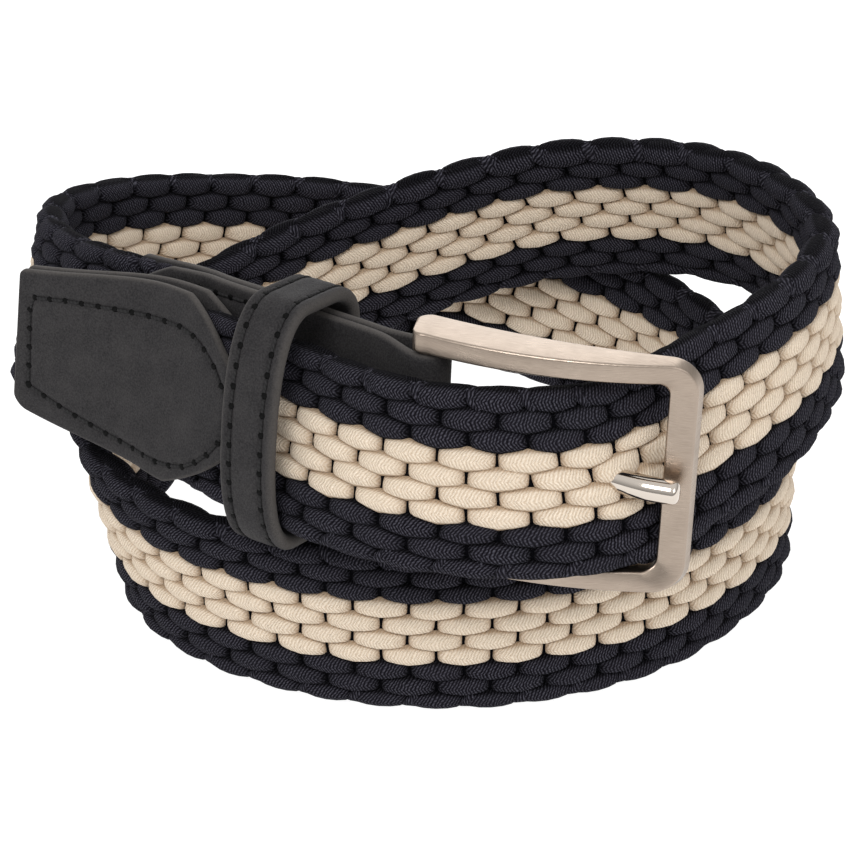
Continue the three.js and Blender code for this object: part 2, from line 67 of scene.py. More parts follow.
# One row for each place along the winding, clockwise from the buckle at the front:
# turn in degrees, radius from the axis, height of the strap's middle, lean of its top edge outward
ROUTE_ROWS = (
    (-30, 92, 63, -6), (0, 53, 60.6, -6), (30, 42.6, 60, -6), (60, 46.2, 58.1, -12),
    (75, 54.7, 55.9, -19), (90, 69, 52.6, -22), (105, 80, 47.5, -13), (120, 84.5, 42, -3),
    (150, 79.5, 31, 5), (180, 72.5, 24, 10), (210, 69.6, 19.2, 8), (240, 71, 17.5, -3),
    (270, 70.8, 17.5, 0), (300, 62.6, 17.5, 0), (330, 55, 17.5, 0), (360, 51.5, 17.5, 0),
    (390, 53.3, 17.5, 2), (420, 59.3, 17.5, 6), (435, 61.8, 17.8, 11), (450, 63, 19.2, 16),
    (465, 61.7, 22, 19), (480, 58.5, 25.5, 12), (510, 53, 34, -5), (540, 52, 42.2, -11),
    (570, 60, 50.5, -15), (600, 73.3, 56, -16), (630, 77.2, 59, -6), (645, 74.8, 60, -7),
    (660, 72, 60.3, -14), (675, 70.3, 60.4, -17), (690, 70.2, 60.5, -16), (705, 69.5, 60.1, -15),
    (720, 64.5, 59.4, -13), (735, 58, 58.5, -14.5), (750, 53.5, 58, -15), (780, 56, 57.2, -15),
    (795, 67, 56.2, -8), (810, 89, 55, 0),
)


class Face(Enum):
    """The two faces of the strap, by the sign of their depth."""

    OUTER = 1
    INNER = -1


class Stripe(Enum):
    """The colours of the braid's stripes."""

    NAVY = "navy"
    CREAM = "cream"


@dataclass(frozen=True)
class Bell:
    """A bell curve, given by its height, the place of its middle and its reach."""

    size: float
    middle: float
    reach: float

    def at(self, x: Array) -> Array:
        """Its size times e to the power of less the square of the distance over the reach."""
        return self.size * np.exp(-(((x - self.middle) / self.reach) ** 2))


def smooth(x: Array, low: float, high: float) -> Array:
    """A smooth step from 0 at low to 1 at high.

    Args:
        x: The values.
        low: Where the step starts.
        high: Where it ends.

    Returns:
        3 t squared less 2 t cubed, with t the clamped share of the way.
    """
    t = np.clip((np.asarray(x, float) - low) / (high - low), 0, 1)
    return t * t * (3 - 2 * t)


def signed_power(x: Array, power: float) -> Array:
    """The size of x to a power, with the sign of x."""
    return np.sign(x) * np.abs(x) ** power


def unit(vectors: Array) -> Array:
    """The vectors brought to length 1."""
    return vectors / np.linalg.norm(vectors, axis=-1, keepdims=True)


def together(*parts: Any) -> Array:
    """Arrays brought to one shape and set side by side in a new last axis."""
    return np.stack(np.broadcast_arrays(*parts), -1)


def runs_along(line: Array) -> Array:
    """The length from a line's first point to each of its points."""
    return np.concatenate([[0], np.cumsum(np.linalg.norm(np.diff(line, axis=0), axis=1))])


def points_along(line: Array, runs: Array, at: Array) -> Array:
    """The points at lengths along a flat line, straight between its own points."""
    return together(np.interp(at, runs, line[:, 0]), np.interp(at, runs, line[:, 1]))


def round_turns(count: int) -> Array:
    """Evenly spaced angles of a whole turn, without its end."""
    return np.linspace(0, 2 * np.pi, count, endpoint=False)


def wrapped(rings: Array) -> Array:
    """Rings with their first place again at their end."""
    return np.concatenate([rings, rings[:, :1]], 1)


def local_points(origin: Array, axes: tuple[Array, ...], *coordinates: Array) -> Array:
    """The points at coordinates in a frame of its own.

    Args:
        origin: The frame's origin, or one for each point.
        axes: The frame's directions.
        coordinates: The places along each of them.

    Returns:
        The origin plus each coordinate times its direction.
    """
    spot = origin
    for axis, value in zip(axes, np.broadcast_arrays(*coordinates)):
        spot = spot + axis * value[..., None]
    return spot


def band_section(
    top: Array, bottom: Array, radius: float, rim: float, counts: tuple[int, int, int]
) -> tuple[Array, ...]:
    """The places round a flat band's section, from its outer face over the top edge and back.

    The faces are straight and each edge is a half circle, squashed to the band's wall.

    Args:
        top: Heights of the top edge, one for each ring.
        bottom: How far the bottom edge lies below the middle, one for each ring.
        radius: The edges' radius across the band.
        rim: How far in from its edges the band is paler, partly rubbed and partly a painted highlight.
        counts: Places on the outer face, on the inner face and round an edge.

    Returns:
        Heights, shares of the wall from inside at 0 to outside at 1, and the edge number.
    """
    outer, inner = np.linspace(-1, 1, counts[0]), np.linspace(1, -1, counts[1])
    quarter = np.linspace(0, np.pi, counts[2])[1:-1]
    r = np.minimum(radius, 0.8 * np.minimum(top, bottom))[:, None]
    upper, lower = top[:, None] - r, bottom[:, None] - r
    spread = [np.where(faces > 0, upper, lower) * faces for faces in (outer, inner)]
    over_top, under = upper + r * np.sin(quarter), -lower - r * np.sin(quarter)
    height = np.concatenate([spread[0], over_top, spread[1], under], 1)
    turned = 0.5 + 0.5 * np.cos(quarter)
    share = np.concatenate([1 + 0 * outer, turned, 0 * inner, 1 - turned])[None] + 0 * height
    limit = np.where(height > 0, top[:, None], bottom[:, None])
    return height, share, np.clip(1 - (limit - np.abs(height)) / rim, 0, 1)


def point_share(left: Array) -> Array:
    """The share of its width that a leather end has, with some of its point's length left.

    One less the share left to the power 1.1, all to the power 0.55: the same cut for both ends.
    """
    return (1 - np.clip(left, 0, 0.997) ** 1.1) ** 0.55


@dataclass(frozen=True)
class Station:
    """Places and directions along the strap, one row each."""

    middle: Array
    forward: Array
    across: Array
    outward: Array


@dataclass
class Route:
    """The strap's wound route and its sizes in millimetres."""

    axis: tuple[float, float] = (0.8, -2.3)
    last_turn: int = 804
    width: float = 35
    thickness: float = 5.5
    braid_start: float = 60
    braid_pinch: float = 17
    braid_end_thickness: float = 1.8
    tab_length: float = 60
    tab_braid_overlap: float = 20
    rows: Array = field(default_factory=lambda: np.array(ROUTE_ROWS, float))

    def __post_init__(self) -> None:
        """Works out the length along the strap at each whole degree of turn."""
        self.lengths = runs_along(self.middle(np.arange(self.last_turn + 1)))
        self.length = float(self.lengths[-1])
        self.braid_end = self.length - self.tab_length + self.tab_braid_overlap

    def row_at(self, turn: Array) -> Array:
        """Radius, height and lean at turns, by cubic Hermite curves between the rows.

        Args:
            turn: Turns in degrees.

        Returns:
            An array with three columns added to the turns' shape.
        """
        turns = self.rows[:, 0]
        i = np.clip(np.searchsorted(turns, turn, side="right") - 1, 1, len(turns) - 3)
        span = (turns[i + 1] - turns[i])[..., None]
        u = (np.asarray(turn, float) - turns[i])[..., None] / span
        values = self.rows[:, 1:]
        slope = (values[2:] - values[:-2]) / (turns[2:] - turns[:-2])[:, None]
        blend = (
            (2 * u**3 - 3 * u**2 + 1) * values[i]
            + (u**3 - 2 * u**2 + u) * span * slope[i - 1]
            + (3 * u**2 - 2 * u**3) * values[i + 1]
            + (u**3 - u**2) * span * slope[i]
        )
        blend[..., 1] = np.maximum(blend[..., 1], self.width / 2)
        return blend

    def middle(self, turn: Array) -> Array:
        """The middle line's points at turns.

        Args:
            turn: Turns in degrees.

        Returns:
            Points at the row's radius round the axis and at its height.
        """
        row = self.row_at(turn)
        angle = np.radians(-90 - np.asarray(turn, float))
        x = self.axis[0] + row[..., 0] * np.cos(angle)
        y = self.axis[1] + row[..., 0] * np.sin(angle)
        return together(x, y, row[..., 1])

    def turn_at(self, along: Array) -> Array:
        """The turns at places of the strap.

        Args:
            along: Lengths along the strap.

        Returns:
            Turns in degrees, straight between whole ones and on at the same rate past an end.
        """
        along = np.asarray(along, float)
        i = np.clip(np.searchsorted(self.lengths, along) - 1, 0, self.last_turn - 1)
        return i + (along - self.lengths[i]) / (self.lengths[i + 1] - self.lengths[i])

    def station(self, along: Array) -> Station:
        """The strap's places and directions.

        Args:
            along: Lengths along the strap.

        Returns:
            The middle line's points, the direction from half a degree before to half a degree
            after each, and the leaning directions across and out of the strap.
        """
        turn = self.turn_at(along)
        forward = unit(self.middle(turn + 0.5) - self.middle(turn - 0.5))
        across, outward = self.leaning(forward, self.row_at(turn)[..., 2])
        return Station(self.middle(turn), forward, across, outward)

    @staticmethod
    def leaning(forward: Array, degrees: Array) -> tuple[Array, Array]:
        """The directions across and out of a band that runs forward with a lean.

        Args:
            forward: Unit directions along the band.
            degrees: How far the top edge leans outward.

        Returns:
            Across and outward: the upright and level directions turned by the lean.
        """
        level = unit(together(-forward[..., 1], forward[..., 0], 0.0))
        upright = np.cross(forward, level)
        c = np.cos(np.radians(degrees))[..., None]
        s = np.sin(np.radians(degrees))[..., None]
        return upright * c + level * s, level * c - upright * s

    def place(self, along: Array, height: Array, depth: Array) -> Array:
        """The points at strap coordinates; a place before the heel bar runs straight on.

        Args:
            along: Lengths along the strap.
            height: Heights across it.
            depth: Depths out of its middle.

        Returns:
            Middle plus height times across plus depth times outward.
        """
        along, height, depth = np.broadcast_arrays(along, height, depth)
        at = self.station(np.maximum(along, 0))
        before = np.minimum(along, 0)[..., None] * at.forward
        return local_points(at.middle + before, (at.across, at.outward), height, depth)

    def fullness(self, along: Array) -> Array:
        """How much of its whole thickness the braid has; less where leather covers its ends."""
        from_end = np.minimum(along - self.braid_start, self.braid_end - along)
        return smooth(from_end, 0, self.braid_pinch)

    def half_thickness(self, along: Array) -> Array:
        """Half the braid's thickness at lengths along it."""
        full = self.fullness(along)
        return (self.braid_end_thickness + (self.thickness - self.braid_end_thickness) * full) / 2

    def squash(self, along: Array) -> Array:
        """The braid's thickness at lengths along it, as a share of the whole one."""
        return self.half_thickness(along) / (self.thickness / 2)


def mesh_piece(
    name: str,
    rings: Array,
    uv: Array,
    ends: Array | None = None,
    values: dict[str, Array] | None = None,
) -> Piece:
    """Makes one object from bodies that are each a run of rings.

    Args:
        name: The piece's name.
        rings: Points in millimetres, as bodies, rings, places round the ring, and xyz.
        uv: The same shape with one more place round the ring and two coordinates.
        ends: The end points of each body, as bodies, two, and xyz, or None where each body's
            last ring joins its first.
        values: Further numbers by name, one for each ring point, shaped as the rings.

    Returns:
        The object at the origin, with its faces pointing outward.
    """
    bodies, count, around = rings.shape[:3]
    spans = count if ends is None else count - 1
    body, ring, col = np.meshgrid(*(np.arange(n) for n in (bodies, spans, around)), indexing="ij")
    right, above = (col + 1) % around, (ring + 1) % count
    corners = ((ring, col), (ring, right), (above, right), (above, col))
    quads = np.stack([(body * count + r) * around + c for r, c in corners], -1).reshape(-1, 4)
    corners = ((ring, col), (ring, col + 1), (above, col + 1), (above, col))
    quad_uv = np.stack([uv[body, r, c] for r, c in corners], -2).reshape(-1, 4, 2)
    points = rings.reshape(-1, 3)
    triangles, tri_uv = np.zeros((0, 3), int), np.zeros((0, 3, 2))
    if ends is not None:
        tip = len(points) + 2 * body[:, 0]
        low, low_next = (body[:, 0] * count * around + c[:, 0] for c in (col, right))
        high, high_next = (edge + (count - 1) * around for edge in (low, low_next))
        points = np.concatenate([points, ends.reshape(-1, 3)])
        fans = np.stack([tip, low_next, low], -1), np.stack([tip + 1, high, high_next], -1)
        triangles = np.concatenate([fan.reshape(-1, 3) for fan in fans])
        low, high = uv[:, 0], uv[:, -1]
        fans_uv = (
            np.stack([(low[:, 1:] + low[:, :-1]) / 2, low[:, 1:], low[:, :-1]], -2),
            np.stack([(high[:, 1:] + high[:, :-1]) / 2, high[:, :-1], high[:, 1:]], -2),
        )
        tri_uv = np.concatenate([fan.reshape(-1, 3, 2) for fan in fans_uv])
    cut = points[quads[:, [0, 1, 2]]], points[quads[:, [0, 2, 3]]], points[triangles]
    volume = sum(float(np.einsum("ij,ij->", np.cross(t[:, 0], t[:, 1]), t[:, 2])) for t in cut if len(t))
    if volume < 0:
        quads, quad_uv = quads[:, ::-1], quad_uv[:, ::-1]
        triangles, tri_uv = triangles[:, ::-1], tri_uv[:, ::-1]
    mesh = bpy.data.meshes.new(name)
    loops = np.concatenate([quads.ravel(), triangles.ravel()]).astype(np.int32)
    sizes = np.concatenate([np.full(len(quads), 4), np.full(len(triangles), 3)]).astype(np.int32)
    mesh.vertices.add(len(points))
    mesh.vertices.foreach_set("co", (points * MM).astype(np.float32).ravel())
    mesh.loops.add(len(loops))
    mesh.loops.foreach_set("vertex_index", loops)
    mesh.polygons.add(len(sizes))
    mesh.polygons.foreach_set("loop_start", np.concatenate([[0], np.cumsum(sizes)[:-1]]).astype(np.int32))
    mesh.update(calc_edges=True)
    layer = mesh.uv_layers.new(name="surface")
    flat = np.concatenate([quad_uv.reshape(-1, 2), tri_uv.reshape(-1, 2)]).astype(np.float32)
    layer.uv.foreach_set("vector", flat.ravel())
    for key, numbers in (values or {}).items():
        attribute = mesh.attributes.new(key, "FLOAT", "POINT")
        extra = np.zeros(len(points) - numbers.size)
        if ends is not None:
            extra = np.stack([numbers[:, 0].mean(-1), numbers[:, -1].mean(-1)], -1).ravel()
        attribute.data.foreach_set("value", np.concatenate([numbers.ravel(), extra]).astype(np.float32))
    mesh.validate()
    mesh.shade_smooth()
    piece = bpy.data.objects.new(name, mesh)
    bpy.context.scene.collection.objects.link(piece)
    LOG.info("%s: %d faces", name, len(sizes))
    return piece


def sheet_piece(
    name: str,
    rings: Array,
    along: Array,
    height: Array,
    worn: Array,
    ends: Array | None = None,
) -> Piece:
    """One sheet, which joins up with itself where it has no ends.

    Args:
        name: The piece's name.
        rings: Its rings' points.
        along: Lengths along it, which are its first own coordinate.
        height: Heights across it, the second one.
        worn: The edge number, which is 1 where the edge is paler, partly rubbed and partly a painted
            highlight.
        ends: Its two end points.

    Returns:
        The object.
    """
    uv = together(along, wrapped(height))[None]
    tips = None if ends is None else ends[None]
    return mesh_piece(name, rings[None], uv, tips, {"edge": worn[None]})


def finish_piece(piece: Piece, material: Material, slot: str, *nodes: str) -> None:
    """Dresses a piece, hangs it under the body and hides the CAD nodes that it stands for.

    Args:
        piece: The piece.
        material: Its material.
        slot: Not used.
        nodes: The CAD nodes that it stands for.
    """
    piece.data.materials.append(material)
    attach(piece, BODY)
    if nodes:
        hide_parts(*nodes)


class Value:
    """A number or vector inside a material, with arithmetic that adds nodes."""

    def __init__(self, book: "NodeBook", socket: bpy.types.NodeSocket) -> None:
        """Wraps one output socket."""
        self.book = book
        self.socket = socket

    def _math(self, operation: str, *others: Any) -> "Value":
        """One Math node on this value and others."""
        return self.book.node("ShaderNodeMath", {"operation": operation}, dict(enumerate((self, *others))))

    def __rsub__(self, other: Any) -> "Value":
        """Other less this."""
        return self._math("MULTIPLY_ADD", -1, other)

    __add__ = __radd__ = partialmethod(_math, "ADD")
    __mul__ = partialmethod(_math, "MULTIPLY")
    __sub__ = partialmethod(_math, "SUBTRACT")
    __pow__ = partialmethod(_math, "POWER")
    __abs__ = partialmethod(_math, "ABSOLUTE")
    sine = partialmethod(_math, "SINE")
    least = partialmethod(_math, "MINIMUM")
    most = partialmethod(_math, "MAXIMUM")

    def step(self, low: float, high: float) -> "Value":
        """A smooth step from 0 at low to 1 at high."""
        ends = {"Value": self, "From Min": low, "From Max": high}
        return self.book.node("ShaderNodeMapRange", {"interpolation_type": "SMOOTHSTEP"}, ends)


class NodeBook:
    """The nodes of one material round its main shader."""

    def __init__(self, name: str) -> None:
        """Starts a material with only its shader and output.

        Args:
            name: The material's name.
        """
        self.material = bpy.data.materials.new(name)
        self.material.use_nodes = True
        self.tree = self.material.node_tree
        self.tree.nodes.clear()
        self.shader = self.tree.nodes.new("ShaderNodeBsdfPrincipled")
        output = self.tree.nodes.new("ShaderNodeOutputMaterial")
        self.tree.links.new(self.shader.outputs[0], output.inputs[0])

    def node(self, kind: str, settings: dict[str, Any], inputs: dict[Any, Any], output: Any = 0) -> Value:
        """Adds one node.

        Args:
            kind: The node's type.
            settings: Its own settings, which are set first.
            inputs: Numbers, colours or values by socket name or place.
            output: The socket that is wanted.

        Returns:
            The wrapped output.
        """
        node = self.tree.nodes.new(kind)
        for key, value in settings.items():
            setattr(node, key, value)
        for key, value in inputs.items():
            self.feed(node.inputs[key], value)
        return Value(self, node.outputs[output])

    def feed(self, socket: bpy.types.NodeSocket, value: Any) -> None:
        """Links a value to a socket, or sets the socket's own number or colour.

        Args:
            socket: An input socket.
            value: A value, a number or a colour.
        """
        if isinstance(value, Value):
            self.tree.links.new(value.socket, socket)
        elif isinstance(value, tuple) and len(value) == 3 and socket.type == "RGBA":
            socket.default_value = (*value, 1)
        else:
            socket.default_value = value

    def shade(self, **inputs: Any) -> Material:
        """Sets the main shader's sockets.

        Args:
            inputs: Numbers, colours or values by socket name, with _ for a space.

        Returns:
            The finished material.
        """
        for key, value in inputs.items():
            self.feed(self.shader.inputs[key.replace("_", " ")], value)
        return self.material

    def mix(self, share: Any, low: Any, high: Any) -> Value:
        """A colour between two colours."""
        return self.node("ShaderNodeMix", {"data_type": "RGBA"}, {0: share, 6: low, 7: high}, 2)

    def surface(self) -> tuple[Value, Value]:
        """The piece's own coordinates.

        Returns:
            The length along it and the length across it, in millimetres.
        """
        uv = self.node("ShaderNodeUVMap", {"uv_map": "surface"}, {})
        along = self.node("ShaderNodeSeparateXYZ", {}, {0: uv}, "X")
        across = self.node("ShaderNodeSeparateXYZ", {}, {0: uv}, "Y")
        return along, across

    def number(self, name: str) -> Value:
        """A number kept in the mesh."""
        return self.node("ShaderNodeAttribute", {"attribute_name": name}, {}, "Fac")

    def place(self) -> Value:
        """The object's own coordinates."""
        return self.node("ShaderNodeTexCoord", {}, {}, "Object")

    def noise(self, size: float, detail: float = 3, roughness: float = 0.55) -> Value:
        """Noise on the object's own coordinates.

        Args:
            size: The size of its features in millimetres.
            detail: How many finer layers it has.
            roughness: How strong each is beside the one before.

        Returns:
            The noise, around 0.5.
        """
        inputs = {"Vector": self.place(), "Scale": 1 / (size * MM), "Detail": detail, "Roughness": roughness}
        return self.node("ShaderNodeTexNoise", {}, inputs)

    def bump(self, height: Value, distance: float) -> Value:
        """A normal from a height of 0 to 1 that stands for a distance in millimetres."""
        return self.node("ShaderNodeBump", {}, {"Height": height, "Distance": distance * MM}, "Normal")


@dataclass(frozen=True)
class CordFinish:
    """Elastic cord in a knitted sleeve: seed-like loops in slanting ribs that meet along its crest."""

    name: str
    # ridge is a painted highlight on the knit's raised loops, valley is painted shade in its grooves and
    # body is the cord's own colour
    ridge_highlight: Colour
    body: Colour
    valley_shade: Colour
    # painted shade in the creases where a stitch meets the rows beside it and at its ends
    crease_shade: Colour
    rib: float = 0.62
    slant: float = 0.62
    loop: float = 0.53
    relief: float = 0.18
    # how strongly the painted crease shade darkens the colour
    crease_shading: float = 0.75
    shine: float = 0.02
    fuzz: float = 0.45
    sheen: float = 0.006

    def build(self) -> Material:
        """The cord, from its own coordinates.

        Ribs are a sine of the length along the cord plus a slant times the distance from its
        crest. Loops are a sine across them. Their product, with noise, is both the height
        and the colour's place between valley, body and ridge: painted shade in the grooves, the
        cord's own colour and a painted highlight on the ridges. Painted shade also darkens the
        colour where a stitch meets the rows beside it and near its ends.

        Returns:
            The material.
        """
        book = NodeBook(self.name)
        along, across = book.surface()
        fuzz = book.noise(0.3, 3, 0.65)
        drift = book.noise(4, 2, 0.5)
        wobble = book.noise(0.9, 1, 0.5)
        slanted = along + abs(across) * self.slant + drift * 0.9 + wobble * 0.45
        ribs = (slanted * (2 * math.pi / self.rib)).sine() * 0.5 + 0.5
        phase = across * (2 * math.pi / self.loop) + slanted * (math.pi / self.rib) + wobble * 2.0
        loops = phase.sine() * 0.5 + 0.5
        raised = ribs * (loops * 0.38 + 0.42) * (1.35 - self.fuzz * 0.8) + fuzz * self.fuzz
        tips = book.number("tip")
        # painted shade towards the row boundaries and towards each stitch's ends by the slits
        crease_shade = abs(across).step(1.15, 2.0).most((tips**6) * 0.9)
        # painted shade in the knit's grooves and a painted highlight on its ridges, by the knit's height
        low = book.mix(raised.step(0.1, 0.55), self.valley_shade, self.body)
        high = book.mix(raised.step(0.5, 1.0), low, self.ridge_highlight)
        worn = book.mix(book.number("tone") * 0.22, high, self.body)
        return book.shade(
            # the painted crease shade laid over the knit's colour
            Base_Color=book.mix(crease_shade * self.crease_shading, worn, self.crease_shade),
            Roughness=0.92 - raised * 0.15,
            Normal=book.bump(raised, self.relief),
            Sheen_Weight=self.sheen,
            Sheen_Roughness=0.5,
            Specular_IOR_Level=self.shine,
        )


@dataclass(frozen=True)
class LeatherFinish:
    """Matt nubuck with a fine even grain, and paler edges that are partly rubbed and partly a painted
    highlight.
    """

    name: str
    base: Colour
    dark: Colour
    # the paler edge colour: partly rubbed leather, partly a painted highlight
    rubbed_edge_and_highlight: Colour
    grain: float = 0.33
    pore: float = 0.34

    def build(self) -> Material:
        """The leather, from the object's coordinates and the edge number.

        Returns:
            The material.
        """
        book = NodeBook(self.name)
        fine = book.noise(self.grain, 4, 0.6)
        cells = {"Vector": book.place(), "Scale": 1 / (self.pore * MM), "Smoothness": 0.6}
        pores = book.node("ShaderNodeTexVoronoi", {"feature": "SMOOTH_F1"}, cells)
        cloudy = book.noise(6, 3, 0.6)
        nap = fine * 0.8 + cloudy * 0.2
        body = book.mix(nap.step(0.3, 0.7), self.dark, self.base)
        mottled = book.mix(cloudy.step(0.4, 0.8) * 0.07, body, self.rubbed_edge_and_highlight)
        # paler edges by the edge number, partly rubbed leather and partly a painted highlight
        edge = book.number("edge") ** 1.5 * (0.35 + fine * 0.7)
        height = fine * 0.9 + pores * 0.25 + cloudy * 0.3
        return book.shade(
            Base_Color=book.mix(edge.least(1.0), mottled, self.rubbed_edge_and_highlight),
            Roughness=0.9 - fine * 0.2,
            Normal=book.bump(height, 0.1),
            Sheen_Weight=0.03,
            Sheen_Roughness=0.5,
            Specular_IOR_Level=0.14,
        )


@dataclass(frozen=True)
class MetalFinish:
    """Metal that is brushed along its own length, or polished where the brushing is 0."""

    name: str
    base: Colour
    shade: Colour
    roughness: float
    brushing: float

    def build(self) -> Material:
        """The metal, from the piece's own coordinates along and across.

        Returns:
            The material.
        """
        book = NodeBook(self.name)
        along, across = book.surface()
        place = book.node("ShaderNodeCombineXYZ", {}, {0: along * 0.35, 1: across * 9, 2: 0.0})
        spread = {"Vector": place, "Scale": 1.0, "Detail": 5, "Roughness": 0.7}
        lines = book.node("ShaderNodeTexNoise", {}, spread)
        cloudy = book.noise(7, 3, 0.55)
        streaks = lines.step(0.36, 0.66)
        return book.shade(
            Base_Color=book.mix((streaks * 0.5 + cloudy * 0.5) * self.brushing, self.base, self.shade),
            Metallic=1.0,
            Roughness=self.roughness + (lines * 0.5 + cloudy * 0.5 - 0.5) * 0.3 * (0.25 + self.brushing),
            Normal=book.bump(lines, 0.03 * self.brushing + 0.001),
        )


@dataclass(frozen=True)
class ThreadFinish:
    """Twisted sewing thread."""

    name: str
    base: Colour
    dark: Colour

    def build(self) -> Material:
        """The thread, with slanting plies along it.

        Returns:
            The material.
        """
        book = NodeBook(self.name)
        along, across = book.surface()
        plies = ((along * 7 + across * 4).sine() * 0.25 + 0.6) * (0.7 + book.noise(0.3) * 0.6)
        return book.shade(
            Base_Color=book.mix(plies.least(1.0), self.dark, self.base),
            Roughness=0.7 + plies * 0.1,
            Normal=book.bump(plies, 0.05),
            Specular_IOR_Level=0.12,
        )


@dataclass(frozen=True)
class FloorFinish:
    """A plain pale studio floor that glows a little, as a lit product table does."""

    name: str = "pale_floor"
    base: Colour = (0.3, 0.3, 0.3)
    glow: float = 0.93

    def build(self) -> Material:
        """The floor, with a faint mottling.

        Returns:
            The material.
        """
        book = NodeBook(self.name)
        tint = book.noise(60, 2, 0.5)
        return book.shade(
            Base_Color=book.mix(tint * 0.05, self.base, (0.28, 0.28, 0.28)),
            Roughness=0.9,
            Specular_IOR_Level=0.1,
            Emission_Color=(1.0, 1.0, 1.0),
            Emission_Strength=self.glow,
        )


